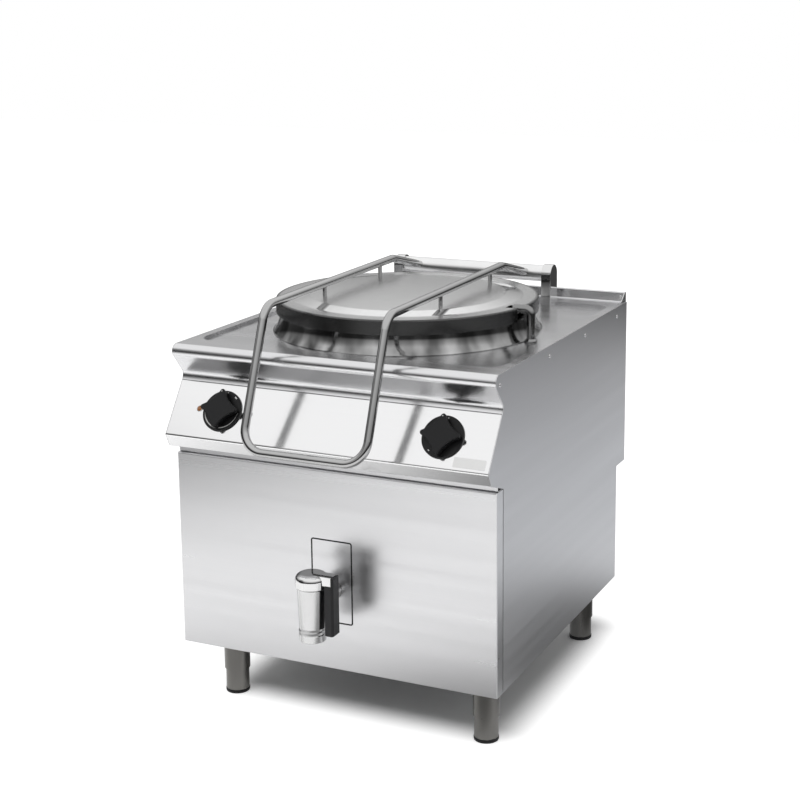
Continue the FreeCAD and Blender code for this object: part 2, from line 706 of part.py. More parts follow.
def control_fascia():
    """Sloping control panel with a return at the top, a folded lip below and holes for the controls."""
    nose, cove, foot, lip = front_profile()
    start = panel_point(cove_end() + FASCIA_GAP)
    path = [(start[0] + FASCIA_RETURN, start[1]), start, foot, lip, (lip[0] + LIP_RETURN, lip[1])]
    panel = bent_along_x(path, [0, 1.5 * SHEET, FOOT_R, 2 * SHEET, 0], SHEET, -INNER_HALF, INNER_HALF)
    depth = 4 * SHEET
    for x, radius in ((LEFT_KNOB_X, SPINDLE_HOLE_R), (RIGHT_KNOB_X, SPINDLE_HOLE_R),
                      (LAMP_X, LAMP_BODY_R + SEAM), (IGNITER_X, IGNITER_BUTTON_R + IGNITER_WALL + SEAM)):
        panel = panel.cut(on_fascia(rod(radius, Vector(0, 0, -depth), Z_AXIS, 2 * depth), x))
    return panel


def front_panel():
    """Deep pan across the whole width, with rounded front edges and the opening for the tap's plate."""
    block = box(-HALF, HALF, 0, FRONT_DEPTH, CABINET_BOTTOM_Z, FRONT_TOP_Z)
    front_edges = [edge for edge in block.Edges if edge.BoundBox.YMax < 1e-6]
    block = block.makeFillet(FRONT_ROUND, front_edges)
    inside = box(-HALF + SHEET, HALF - SHEET, SHEET, FRONT_DEPTH + 1, CABINET_BOTTOM_Z + SHEET,
                 FRONT_TOP_Z - SHEET)
    return block.cut(inside).cut(cover_outline(TRIM_FIT, -1, FRONT_DEPTH))


def cover_outline(grow, y0, depth):
    """Rounded upright plate at the tap, grown or shrunk all round."""
    half_width = COVER_WIDTH / 2 + grow
    half_height = COVER_HEIGHT / 2 + grow
    return rounded_plate(-half_width, half_width, COVER_Z - half_height, COVER_Z + half_height,
                         COVER_ROUND + grow, y0, depth)


def drain_cover_trim():
    """Rubber edging round the cover plate."""
    inner = cover_outline(-TRIM_WIDTH, -TRIM_PROUD - 1, TRIM_DEPTH + 2)
    return cover_outline(0, -TRIM_PROUD, TRIM_DEPTH).cut(inner)


def drain_cover_plate():
    """Cover plate inside its rubber edging, bored for the drain pipe."""
    plate = cover_outline(-TRIM_WIDTH - TRIM_FIT, 0, SHEET)
    return plate.cut(rod(DRAIN_R + PIPE_CLEARANCE, Vector(0, -1, DRAIN_Z), Y_AXIS, SHEET + 2))


def vessel():
    """Wall of the cooking vessel: a rolled shell with a turned-out rim, welded to the bottom's flange."""
    wall = [(VESSEL_R + RIM_WIDTH, RIM_Z), (VESSEL_R, RIM_Z), (VESSEL_R, WELD_Z)]
    return turned(sheet_face(wall, [0, 1.5 * VESSEL_WALL, 0], VESSEL_WALL, radial_view))


def vessel_bottom():
    """Pressed bottom of the cooking vessel, with a rounded knuckle, a short flange and the drain hole."""
    dish = [(VESSEL_R, WELD_Z), (VESSEL_R, VESSEL_FLOOR_Z), (0, VESSEL_FLOOR_Z)]
    bottom = turned(sheet_face(dish, [0, VESSEL_KNUCKLE, 0], VESSEL_WALL, radial_view))
    return bottom.cut(rod(DRAIN_R - DRAIN_WALL, Vector(0, DRAIN_Y, VESSEL_FLOOR_Z - 2 * VESSEL_WALL), Z_AXIS,
                          4 * VESSEL_WALL))


def vessel_collar():
    """Polished collar that flares from under the vessel's rim down to the worktop."""
    radius = VESSEL_R + RIM_WIDTH + SEAM
    base = RECESS_Z + COLLAR_WALL
    corner = base + COLLAR_FLARE * COLLAR_SLOPE
    path = [(radius + COLLAR_FLARE + COLLAR_LIP, base), (radius + COLLAR_FLARE, base), (radius, corner),
            (radius, RIM_Z - VESSEL_WALL)]
    foot_length = math.hypot(COLLAR_FLARE, corner - base)
    turn = math.atan2(COLLAR_FLARE, corner - base)
    bend = min(0.95 * foot_length, 0.95 * (RIM_Z - VESSEL_WALL - corner)) / math.tan(turn / 2)
    return turned(sheet_face(path, [0, 0, bend, 0], COLLAR_WALL, radial_view))


def flue_box(grow, y0, y1):
    """Space of the flue duct, grown or shrunk all round."""
    half = FLUE_WIDTH / 2 + grow
    return box(-half, half, y0, y1, FLUE_Z - grow, FLUE_Z + FLUE_HEIGHT + grow)


def chamber_openings(clearance):
    """Ways through the chamber's wall: drain pipe, gas feed and flue."""
    drain = rod(DRAIN_R + clearance, Vector(0, -KETTLE_Y, DRAIN_Z), Y_AXIS, 2 * KETTLE_Y)
    feed = rod(PIPE_R + clearance, Vector(GAS_FEED_X, 0, BURNER_Z), Y_AXIS, MANIFOLD_Y)
    return [drain, feed, flue_box(clearance, KETTLE_Y, REAR_Y)]


def chamber_shell():
    """Rolled wall of the heating chamber, open below for the air."""
    foot = Vector(0, KETTLE_Y, BASE_TOP_Z)
    wall = ring(SHELL_R, SHELL_R - SHELL_WALL, foot, Z_AXIS, SHELL_TOP_Z - SHELL_WALL - BASE_TOP_Z)
    drain, feed, flue = chamber_openings(PIPE_CLEARANCE)
    return wall.cut(drain).cut(feed).cut(flue_box(-FLUE_SHEET, KETTLE_Y, REAR_Y))


def chamber_cover():
    """Flat ring that closes the heating chamber round the vessel's wall."""
    place = Vector(0, KETTLE_Y, SHELL_TOP_Z - SHELL_WALL)
    return ring(SHELL_R, VESSEL_OUT_R + SEAM, place, Z_AXIS, SHELL_WALL)


def insulation_blanket():
    """Blanket of mineral fibre round the heating chamber."""
    inner = SHELL_R + INSULATION_FIT
    base = BASE_TOP_Z + INSULATION_FIT
    blanket = ring(BLANKET_R, inner, Vector(0, KETTLE_Y, base), Z_AXIS, SHELL_TOP_Z - base)
    for opening in chamber_openings(2 * PIPE_CLEARANCE):
        blanket = blanket.cut(opening)
    return blanket


def burner_bar(x):
    """One bar of the burner with its row of flame slots and two legs down to the base's bearers."""
    bar = rod(BAR_R, Vector(x, MANIFOLD_Y, BURNER_Z), Y_AXIS, BAR_LENGTH)
    slot_pitch = BAR_LENGTH / (BAR_SLOTS + 1)
    for slot in range(1, BAR_SLOTS + 1):
        y = MANIFOLD_Y + slot * slot_pitch
        bar = bar.cut(box(x - BAR_R, x + BAR_R, y, y + SLOT_WIDTH, BURNER_Z + BAR_R - SLOT_DEPTH,
                          BURNER_Z + BAR_R + 1))
    if abs(abs(x) - OUTER_BAR_X) > SEAM:
        return bar
    half = BURNER_LEG / 2
    legs = []
    for y in (MANIFOLD_Y + slot_pitch / 2, MANIFOLD_Y + BAR_LENGTH - slot_pitch / 2):
        legs.append(box(x - half, x + half, y, y + BURNER_LEG_THICK, BASE_TOP_Z, BURNER_Z - BAR_R / 2))
    return bar.multiFuse(legs)


def burner():
    """Parallel bar burners with flame slots on one manifold, standing on four legs."""
    start = Vector(-OUTER_BAR_X - BAR_R, MANIFOLD_Y, BURNER_Z)
    pieces = [rod(MANIFOLD_R, start, X_AXIS, 2 * (OUTER_BAR_X + BAR_R))]
    for number in range(BAR_COUNT):
        pieces.append(burner_bar(number * BAR_PITCH - OUTER_BAR_X))
    return pieces[0].multiFuse(pieces[1:])


def pilot_burner():
    """Pilot with its hood, thermocouple and electrode on one bracket beside the second bar."""
    x = -BAR_PITCH / 2 + BAR_R + PILOT_R + SEAM
    y = MANIFOLD_Y + MANIFOLD_R + SEAM
    base = BURNER_Z - BAR_R / 2
    height = BAR_R * 2
    bracket = box(x - PILOT_R, x + 3 * PILOT_R, y, y + 2 * PILOT_R, base, base + BURNER_LEG_THICK)
    body = rod(PILOT_R, Vector(x, y + PILOT_R, base), Z_AXIS, height)
    probe = rod(PILOT_R / 2, Vector(x + 2 * PILOT_R, y + PILOT_R, base), Z_AXIS, height + PILOT_R)
    return joined([bracket, body, probe])


def control_valve(x):
    """Valve behind the fascia: block, neck up to the sheet and the bore for its spindle."""
    back = -SHEET - VALVE_NECK - VALVE_DEPTH
    block = rounded_block(-VALVE_WIDTH / 2, VALVE_WIDTH / 2, -VALVE_HEIGHT / 2, VALVE_HEIGHT / 2,
                          VALVE_NECK / 2, back, VALVE_DEPTH)
    neck = rod(VALVE_NECK_R, Vector(0, 0, back + VALVE_DEPTH), Z_AXIS, VALVE_NECK)
    bore = rod(SPINDLE_R + SPINDLE_FIT, Vector(0, 0, -SHEET - VALVE_NECK - SPINDLE_IN_VALVE), Z_AXIS,
               VALVE_NECK + SPINDLE_IN_VALVE + 1)
    return on_fascia(joined([block, neck]).cut(bore), x)


def valve_point(x, sideways, depth):
    """Point of the kettle's frame from a valve's own: sideways from its middle and behind the fascia."""
    direction = down_panel()
    y, z = panel_point(CONTROL_ROW)
    return Vector(x + sideways, y - direction[1] * depth, z + direction[0] * depth)


def supply_pipe(valve_x, side):
    """Pipe from an inlet low on the rear, along the side and up to the outer face of a valve."""
    port = valve_point(valve_x, side * VALVE_WIDTH / 2, SHEET + VALVE_NECK + VALVE_DEPTH / 2)
    lane = side * PIPE_LANE_X
    rise_y = SIDE_FRONT_Y + PIPE_LANE_GAP
    start = inlet_inner_y() - UNION_NUT_LENGTH
    points = [Vector(side * INLET_X, start, INLET_Z), Vector(side * INLET_X, start - 2 * PIPE_BEND, INLET_Z),
              Vector(lane, start - 4 * PIPE_BEND, INLET_Z), Vector(lane, rise_y, INLET_Z),
              Vector(lane, rise_y, port.z - 3 * PIPE_BEND), Vector(lane, port.y, port.z), port]
    return bent_tube(points, [0] + [PIPE_BEND] * 5 + [0], PIPE_R, 0)


def gas_feed_pipe():
    """Pipe from the gas valve's back down and through the chamber's wall to the manifold."""
    back = SHEET + VALVE_NECK + VALVE_DEPTH
    port = valve_point(LEFT_KNOB_X, 0, back)
    turn = valve_point(LEFT_KNOB_X, 0, back + 2 * PIPE_BEND)
    points = [port, turn, Vector(LEFT_KNOB_X, turn.y, BURNER_Z), Vector(GAS_FEED_X, turn.y, BURNER_Z),
              Vector(GAS_FEED_X, MANIFOLD_Y - MANIFOLD_R / 2, BURNER_Z)]
    pipe = bent_tube(points, [0] + [PIPE_BEND] * 3 + [0], PIPE_R, 0)
    return pipe.cut(rod(MANIFOLD_R, Vector(-WIDTH, MANIFOLD_Y, BURNER_Z), X_AXIS, 2 * WIDTH))


def gas_pipes():
    """Supply and feed pipes of the gas, as two solids."""
    return Part.makeCompound([supply_pipe(LEFT_KNOB_X, -1), gas_feed_pipe()])


def water_pipes():
    """Supply pipe of the water and the pipe from its valve up to the filler spout, as two solids."""
    back = SHEET + VALVE_NECK + VALVE_DEPTH
    port = valve_point(RIGHT_KNOB_X, 0, back)
    turn = valve_point(RIGHT_KNOB_X, 0, back + 3 * PIPE_BEND)
    high = SPOUT_BASE_Z - PIPE_BEND - PIPE_R
    points = [port, turn, Vector(PIPE_LANE_X, turn.y, turn.z), Vector(PIPE_LANE_X, turn.y, high),
              Vector(PIPE_LANE_X, SPOUT_Y, high), Vector(SPOUT_X, SPOUT_Y, high),
              Vector(SPOUT_X, SPOUT_Y, SPOUT_BASE_Z)]
    spout_feed = bent_tube(points, [0] + [PIPE_BEND] * 5 + [0], PIPE_R, 0)
    return Part.makeCompound([supply_pipe(RIGHT_KNOB_X, 1), spout_feed])


def inlet_inner_y():
    """Inner face of the lower rear panel."""
    return LOWER_REAR_Y - SHEET


def inlet_union(x):
    """Threaded inlet stub, clamped in the rear panel between its body inside and a lock nut outside."""
    back = inlet_inner_y() - SEAM
    body = rod(UNION_NUT_R, Vector(x, inlet_inner_y() - UNION_NUT_LENGTH, INLET_Z), Y_AXIS,
               UNION_NUT_LENGTH - SEAM)
    outside = LOWER_REAR_Y + SEAM
    lock = rod(UNION_NUT_R, Vector(x, outside, INLET_Z), Y_AXIS, LOCK_NUT_LENGTH)
    stub = rod(THREAD_R, Vector(x, back - SEAM, INLET_Z), Y_AXIS,
               outside + LOCK_NUT_LENGTH + THREAD_LENGTH - back + SEAM)
    return joined([body, stub, lock])


def flue_duct():
    """Rectangular duct from the top of the heating chamber to the rear grille."""
    rear = REAR_Y - SHEET - SEAM - GRILLE_THICK - SEAM
    duct = flue_box(0, KETTLE_Y, rear).cut(flue_box(-FLUE_SHEET, KETTLE_Y - 1, rear + 1))
    return duct.cut(rod(SHELL_R + SEAM, Vector(0, KETTLE_Y, 0), Z_AXIS, WORKTOP_Z))


def flue_grille():
    """Grille between the duct and the rear panel: a plate with a row of long slots."""
    rear = REAR_Y - SHEET - SEAM
    plate = flue_box(GRILLE_BORDER, rear - GRILLE_THICK, rear)
    pitch = FLUE_HEIGHT / GRILLE_SLOTS
    half = FLUE_WIDTH / 2 - GRILLE_BORDER
    slots = []
    for row in range(GRILLE_SLOTS):
        z = FLUE_Z + (row + 0.5) * pitch
        slots.append(rounded_plate(-half, half, z - GRILLE_SLOT / 2, z + GRILLE_SLOT / 2, GRILLE_SLOT / 3,
                                   rear - 2 * GRILLE_THICK, 3 * GRILLE_THICK))
    return plate.cut(Part.makeCompound(slots))


def filler_spout():
    """Swan-neck water spout that reaches over the vessel's rim through the lid's notch."""
    points = [Vector(SPOUT_X, SPOUT_Y, SPOUT_BASE_Z), Vector(SPOUT_X, SPOUT_Y, SPOUT_TOP_Z),
              Vector(SPOUT_X - SPOUT_REACH, SPOUT_Y, SPOUT_TOP_Z)]
    return bent_tube(points, [0, SPOUT_BEND, 0], SPOUT_TUBE_R, SPOUT_TUBE_R - SPOUT_WALL)


def spout_ferrule():
    """Turned ferrule where the spout leaves the worktop."""
    bore = SPOUT_TUBE_R + SPOUT_FIT
    top = RECESS_Z + FERRULE_HEIGHT
    points = [(FERRULE_R, RECESS_Z), (FERRULE_R, top - FERRULE_HEIGHT / 2), (bore + 1, top), (bore, top),
              (bore, RECESS_Z)]
    face = outline([Vector(SPOUT_X + r, SPOUT_Y, z) for r, z in points], [0] * len(points))
    return face.revolve(Vector(SPOUT_X, SPOUT_Y, 0), Z_AXIS, 360)


def drain_pipe():
    """Pipe from the vessel's floor, round one bend and forward through the cover plate to the tap."""
    points = [Vector(0, DRAIN_Y, VESSEL_FLOOR_Z - VESSEL_WALL), Vector(0, DRAIN_Y, DRAIN_Z),
              Vector(0, UNION_Y, DRAIN_Z)]
    return bent_tube(points, [0, DRAIN_BEND, 0], DRAIN_R, DRAIN_R - DRAIN_WALL)


def tap_union_nut():
    """Hexagon nut over the joint of drain pipe and tap."""
    corner_r = UNION_FLAT / math.sqrt(3)
    start = UNION_Y - UNION_LENGTH / 2
    corners = []
    for k in range(6):
        spoke = around(k * math.pi / 3, corner_r)
        corners.append(Vector(spoke.x, start, DRAIN_Z + spoke.y))
    nut = outline(corners, [0] * 6).extrude(Vector(0, UNION_LENGTH, 0))
    return nut.cut(rod(DRAIN_R + SEAT_FIT, Vector(0, start - 1, DRAIN_Z), Y_AXIS, UNION_LENGTH + 2))


def tap_body():
    """Tap body: tapered barrel with turned rings at the nozzle, plug bore and inlet branch."""
    groove = TAP_GROOVE
    ring_height = (TAP_RING_Z - TAP_BOTTOM_Z) / 4
    low = TAP_BOTTOM_Z
    points = [(OUTLET_R, low), (TAP_FOOT_R - groove, low), (TAP_FOOT_R, low + groove),
              (TAP_FOOT_R, low + 2 * ring_height), (TAP_FOOT_R - groove, low + 2 * ring_height + groove),
              (TAP_FOOT_R + groove / 2, low + 3 * ring_height),
              (TAP_FOOT_R - groove, low + 3 * ring_height + groove), (TAP_FOOT_R, TAP_RING_Z),
              (TAP_TOP_R, TAP_TOP_Z), (TAP_BORE_R, TAP_TOP_Z), (TAP_BORE_R, PLUG_SEAT_Z),
              (OUTLET_R, PLUG_SEAT_Z)]
    barrel = turned_outline(points, TAP_Y)
    branch = rod(DRAIN_R, Vector(0, TAP_Y, DRAIN_Z), Y_AXIS, UNION_Y - TAP_Y)
    branch = branch.cut(rod(TAP_BORE_R + groove, Vector(0, TAP_Y, 0), Z_AXIS, WORKTOP_Z))
    port = rod(PORT_R, Vector(0, TAP_Y, DRAIN_Z), Y_AXIS, UNION_Y - TAP_Y + 1)
    return joined([barrel, branch]).cut(port)


def tap_plug():
    """Hollow plug: its side port meets the inlet when the lever is turned to the front."""
    radius = TAP_BORE_R - PLUG_FIT
    base = PLUG_SEAT_Z + PLUG_FIT
    plug = rod(radius, Vector(0, TAP_Y, base), Z_AXIS, CAP_Z - base)
    plug = plug.cut(rod(OUTLET_R, Vector(0, TAP_Y, base - 1), Z_AXIS, DRAIN_Z + PORT_R - base + 3))
    return plug.cut(rod(PORT_R, Vector(-TAP_BORE_R - 1, TAP_Y, DRAIN_Z), X_AXIS, TAP_BORE_R))


def tap_cap():
    """Domed cap over the plug, with the tongue that carries the grip."""
    top = CAP_Z + TAP_CAP_HEIGHT
    dome = turned_outline([(0, CAP_Z), (TAP_CAP_R - TAP_GROOVE, CAP_Z), (TAP_CAP_R, CAP_Z + 2 * TAP_GROOVE),
                           (TAP_CAP_R, top), (0, top)], TAP_Y, [0, 0, 0, TAP_CAP_ROUND, 0])
    tongue = rounded_block(0, TONGUE_REACH, TAP_Y - TONGUE_HALF, TAP_Y + TONGUE_HALF, 2, top - TONGUE_HEIGHT,
                           TONGUE_HEIGHT)
    return joined([dome, tongue])


def tap_grip():
    """Hanging grip with chamfered outer corners, which hooks over the end of the tongue."""
    x0 = GRIP_INNER_X
    x1 = TONGUE_REACH + GRIP_CHEEK
    half = GRIP_DEPTH / 2
    tongue_top = CAP_Z + TAP_CAP_HEIGHT
    chamfer = GRIP_CHAMFER
    section = [(x0, -half), (x1 - chamfer, -half), (x1, chamfer - half), (x1, half - chamfer),
               (x1 - chamfer, half), (x0, half)]
    corners = [Vector(x, TAP_Y + y, GRIP_BOTTOM_Z) for x, y in section]
    grip = outline(corners, [0] * 6).extrude(Vector(0, 0, tongue_top - GRIP_DROP - GRIP_BOTTOM_Z))
    low_edges = [edge for edge in grip.Edges if edge.BoundBox.ZMax < GRIP_BOTTOM_Z + 1e-6]
    grip = grip.makeChamfer(chamfer / 2, low_edges)
    seat = box(x0 - 1, TONGUE_REACH + SEAM, TAP_Y - half - 1, TAP_Y + half + 1,
               tongue_top - TONGUE_HEIGHT - SEAM, tongue_top + 1)
    return grip.cut(seat)


def lid_step(rise):
    """Height of the lid's outer skin over its rim flange."""
    return LID_FLANGE_Z + rise


def lid_shell():
    """Pressed lid: rolled skirt, flat rim flange, polished ogee step and a slightly crowned dome."""
    path = [(LID_R, LID_FLANGE_Z - LID_SKIRT), (LID_R, LID_FLANGE_Z), (LID_STEP_R, LID_FLANGE_Z),
            (LID_CROWN_R, lid_step(LID_STEP_RISE)), (LID_CROWN_R / 2, lid_step(LID_CROWN_RISE)),
            (0, lid_step(LID_CROWN_RISE))]
    slope = math.atan2(LID_CROWN_RISE - LID_STEP_RISE, LID_CROWN_R / 2)
    crown_round = (LID_CROWN_R / 2 - LID_CROWN_FLAT) / math.tan(slope / 2)
    radii = [0, LID_EDGE_ROUND, LID_OGEE_ROUND, LID_OGEE_ROUND, crown_round, 0]
    shell = turned(sheet_face(path, radii, LID_SHEET, radial_view))
    return shell.cut(spout_notch())


def spout_notch():
    """Slot in the lid's edge for the filler spout."""
    return box(LID_R - NOTCH_DEPTH, LID_R + 1, SPOUT_Y - NOTCH_HALF, SPOUT_Y + NOTCH_HALF,
               LID_FLANGE_Z - LID_SKIRT - 1, LID_FLANGE_Z + LID_STEP_RISE)


def lid_seal():
    """Silicone ring under the lid that rests on the vessel's rim."""
    base = RIM_Z + SEAM
    seal = ring(VESSEL_R + LID_RING_WIDTH, VESSEL_R, Vector(0, KETTLE_Y, base), Z_AXIS,
                LID_FLANGE_Z - LID_SHEET - base)
    return seal.cut(spout_notch())


def frame_points():
    """Corners of the lid frame's centre line, from the right end at the hinge to the left one."""
    right = [Vector(FRAME_X, HINGE_Y, HINGE_Z), Vector(FRAME_X, FRAME_PEAK_Y, FRAME_PEAK_Z),
             Vector(FRAME_X, FRAME_FRONT_Y, FRAME_FRONT_Z), Vector(FRAME_X, FRAME_BAR_Y, FRAME_BAR_Z)]
    left = [Vector(-point.x, point.y, point.z) for point in reversed(right)]
    return right + left


def lid_frame_solid(inner):
    """Bent frame tube before its ends are fitted to the hinge tube."""
    half = [0, FRAME_PEAK_BEND, FRAME_FRONT_BEND, FRAME_BAR_BEND]
    return bent_tube(frame_points(), half + half[::-1], FRAME_TUBE_R, inner)


def lid_frame():
    """Bow of one bent tube: two rails over the lid, two legs down the front and the hand rail."""
    hinge = rod(HINGE_TUBE_R, Vector(-WIDTH, HINGE_Y, HINGE_Z), X_AXIS, 2 * WIDTH)
    return lid_frame_solid(FRAME_TUBE_R - FRAME_WALL).cut(hinge)


def lid_stay_pins():
    """Four pins between the lid and the rails, saddled at both ends, as separate solids."""
    lid_body = turned_outline([(0, LID_FLANGE_Z), (LID_STEP_R, LID_FLANGE_Z),
                               (LID_CROWN_R, lid_step(LID_STEP_RISE)),
                               (LID_CROWN_R / 2, lid_step(LID_CROWN_RISE)),
                               (0, lid_step(LID_CROWN_RISE))], KETTLE_Y)
    tube = lid_frame_solid(0)
    pins = []
    for x in (-FRAME_X, FRAME_X):
        for y in PIN_YS:
            slope = (FRAME_PEAK_Z - FRAME_FRONT_Z) / (FRAME_PEAK_Y - FRAME_FRONT_Y)
            top = FRAME_FRONT_Z + (y - FRAME_FRONT_Y) * slope
            pin = rod(PIN_R, Vector(x, y, LID_FLANGE_Z), Z_AXIS, top - LID_FLANGE_Z)
            pins.append(pin.cut(lid_body).cut(tube))
    return Part.makeCompound(pins)


def hinge_tube():
    """Tube that turns with the frame between the two brackets."""
    half = BRACKET_X - BRACKET_GAP
    start = Vector(-half, HINGE_Y, HINGE_Z)
    return ring(HINGE_TUBE_R, HINGE_TUBE_R - HINGE_TUBE_WALL, start, X_AXIS, 2 * half)


def hinge_bushes():
    """Plain bushes pressed into the ends of the hinge tube, as two solids."""
    half = BRACKET_X - BRACKET_GAP
    outer = HINGE_TUBE_R - HINGE_TUBE_WALL - SEAT_FIT
    right = ring(outer, AXLE_R + AXLE_FIT, Vector(half - BUSH_LENGTH, HINGE_Y, HINGE_Z), X_AXIS, BUSH_LENGTH)
    return Part.makeCompound([right, mirrored(right)])


def hinge_axle():
    """Fixed axle through both brackets."""
    half = BRACKET_X + BRACKET_THICK - BRACKET_EDGE - SEAM
    return rod(AXLE_R, Vector(-half, HINGE_Y, HINGE_Z), X_AXIS, 2 * half)


def hinge_bracket():
    """Right hinge bracket: upright with a half-round head, stepped over the recess's rear edge."""
    x0 = BRACKET_X
    front = HINGE_Y - BRACKET_HALF
    step = RECESS_REAR_Y - SEAM
    left = Vector(x0, front, HINGE_Z)
    crown = Vector(x0, HINGE_Y, HINGE_Z + BRACKET_HALF)
    right = Vector(x0, HINGE_Y + BRACKET_HALF, HINGE_Z)
    foot = [right, Vector(x0, HINGE_Y + BRACKET_HALF, WORKTOP_Z), Vector(x0, step, WORKTOP_Z),
            Vector(x0, step, RECESS_Z), Vector(x0, front, RECESS_Z), left]
    edges = [Part.Arc(left, crown, right).toShape()]
    edges += [Part.makeLine(one, other) for one, other in zip(foot, foot[1:])]
    block = Part.Face(Part.Wire(edges)).extrude(Vector(BRACKET_THICK, 0, 0))
    outer = [edge for edge in block.Edges if edge.BoundBox.XMin > x0 + BRACKET_THICK - 1e-6
             and edge.BoundBox.ZMax > WORKTOP_Z + 1]
    block = block.makeFillet(BRACKET_EDGE, outer)
    return block.cut(rod(AXLE_R + SEAT_FIT, Vector(x0 - 1, HINGE_Y, HINGE_Z), X_AXIS,
                         BRACKET_THICK - BRACKET_EDGE + 1))


def dial(x):
    """Fixed dial under a knob: a flat disc with a chamfered edge."""
    disc = rod(DIAL_R, Vector(0, 0, 0), Z_AXIS, DIAL_THICK - DIAL_CHAMFER)
    edge = Part.makeCone(DIAL_R, DIAL_R - DIAL_CHAMFER, DIAL_CHAMFER, Vector(0, 0, DIAL_THICK - DIAL_CHAMFER))
    hole = rod(SPINDLE_HOLE_R, Vector(0, 0, -1), Z_AXIS, DIAL_THICK + 2)
    return on_fascia(joined([disc, edge]).cut(hole), x)


def knob(x):
    """Knob with four rounded lobes and hollowed sides, bored for its spindle."""
    centre_r = KNOB_LOBE_R - KNOB_TIP_R
    quarter = math.pi / 2
    sweep = math.radians(KNOB_TIP_SWEEP)
    base = Vector(0, 0, DIAL_THICK + KNOB_GAP)
    edges = []
    for lobe in range(4):
        angle = math.radians(KNOB_TURN) + lobe * quarter
        following = angle + quarter
        centre = base + around(angle, centre_r)
        first = centre + around(angle - sweep, KNOB_TIP_R)
        last = centre + around(angle + sweep, KNOB_TIP_R)
        neighbour = base + around(following, centre_r) + around(following - sweep, KNOB_TIP_R)
        waist = base + around(angle + quarter / 2, KNOB_WAIST_R)
        edges.append(Part.Arc(first, centre + around(angle, KNOB_TIP_R), last).toShape())
        edges.append(Part.Arc(last, waist, neighbour).toShape())
    body = Part.Face(Part.Wire(edges)).extrude(Vector(0, 0, KNOB_HEIGHT))
    top = DIAL_THICK + KNOB_GAP + KNOB_HEIGHT
    crown = [edge for edge in body.Edges if edge.BoundBox.ZMin > top - 1e-6]
    body = body.makeChamfer(KNOB_EDGE, crown)
    bore = rod(SPINDLE_R + SEAT_FIT, Vector(0, 0, 0), Z_AXIS,
               DIAL_THICK + KNOB_GAP + SPINDLE_IN_KNOB + SEAM)
    return on_fascia(body.cut(bore), x)


def spindle(x):
    """Spindle from the valve's bore up into the knob."""
    low = -SHEET - VALVE_NECK - SPINDLE_IN_VALVE + SEAM
    high = DIAL_THICK + KNOB_GAP + SPINDLE_IN_KNOB
    return on_fascia(rod(SPINDLE_R, Vector(0, 0, low), Z_AXIS, high - low), x)


def pilot_lamp():
    """Indicator lamp: domed lens outside and its round holder behind the fascia."""
    body = rod(LAMP_BODY_R, Vector(0, 0, -LAMP_BODY_LENGTH), Z_AXIS, LAMP_BODY_LENGTH)
    rim = rod(LAMP_R, Vector(0, 0, 0), Z_AXIS, LAMP_RISE / 2)
    lens = Part.makeCone(LAMP_R, LAMP_R / 2, LAMP_RISE / 2, Vector(0, 0, LAMP_RISE / 2))
    return on_fascia(joined([body, rim, lens]), LAMP_X)


def igniter_body():
    """Piezo igniter: round bezel outside and the barrel behind the fascia, open for its button."""
    barrel_r = IGNITER_BUTTON_R + IGNITER_WALL
    barrel = rod(barrel_r, Vector(0, 0, -IGNITER_LENGTH), Z_AXIS, IGNITER_LENGTH)
    bezel = rod(IGNITER_BEZEL_R, Vector(0, 0, 0), Z_AXIS, IGNITER_BEZEL)
    bore = rod(IGNITER_BUTTON_R + BUTTON_FIT, Vector(0, 0, -BUTTON_IN - IGNITER_TRAVEL - SEAM), Z_AXIS,
               IGNITER_LENGTH)
    return on_fascia(joined([barrel, bezel]).cut(bore), IGNITER_X)


def igniter_button():
    """Push button of the igniter."""
    shoulder = IGNITER_BEZEL + BUTTON_PROUD - BUTTON_CROWN
    shaft = rod(IGNITER_BUTTON_R, Vector(0, 0, -BUTTON_IN), Z_AXIS, BUTTON_IN + shoulder)
    crown = Part.makeCone(IGNITER_BUTTON_R, IGNITER_BUTTON_R - BUTTON_CROWN, BUTTON_CROWN,
                          Vector(0, 0, shoulder))
    return on_fascia(joined([shaft, crown]), IGNITER_X)


def foot_places():
    """Name and axis of each foot."""
    places = {}
    for name, y in (("front", FOOT_FRONT_Y), ("rear", FOOT_REAR_Y)):
        places[name + "_left"] = (-FOOT_X, y)
        places[name + "_right"] = (FOOT_X, y)
    return places


def foot_sleeves():
    """Fixed upper tubes of the feet under the base gussets, as four solids."""
    sleeves = []
    for x, y in foot_places().values():
        sleeve = rod(SLEEVE_R, Vector(x, y, SLEEVE_BOTTOM_Z), Z_AXIS, CABINET_BOTTOM_Z - SLEEVE_BOTTOM_Z)
        bore = rod(STEM_R + FOOT_FIT, Vector(x, y, SLEEVE_BOTTOM_Z - 1), Z_AXIS,
                   CABINET_BOTTOM_Z - SLEEVE_CAP - SLEEVE_BOTTOM_Z + 1)
        sleeves.append(sleeve.cut(bore))
    return Part.makeCompound(sleeves)


def foot_stem(x, y):
    """Adjustable lower tube of a foot."""
    top = CABINET_BOTTOM_Z - SLEEVE_CAP - SEAM
    return rod(STEM_R, Vector(x, y, PAD_THICK), Z_AXIS, top - PAD_THICK)


def foot_pad(x, y):
    """Plastic pad under a foot."""
    return rod(PAD_R, Vector(x, y, 0), Z_AXIS, PAD_THICK)


def panel_screws():
    """Screws of the side panels and of the upstand, as separate solids."""
    screws = []
    for point in side_screw_points():
        right = screw(point, X_AXIS)
        screws += [right, mirrored(right)]
    right = screw(upstand_screw_point(), -Y_AXIS)
    return Part.makeCompound(screws + [right, mirrored(right)])


def write(name, shape):
    """Moves a piece to the appliance's own origin and writes it."""
    moved = shape.copy()
    moved.translate(Vector(0, -CENTRE_Y, 0))
    if not moved.isValid():
        print("not valid:", name)
    moved.exportStep("parts/" + name + ".step")


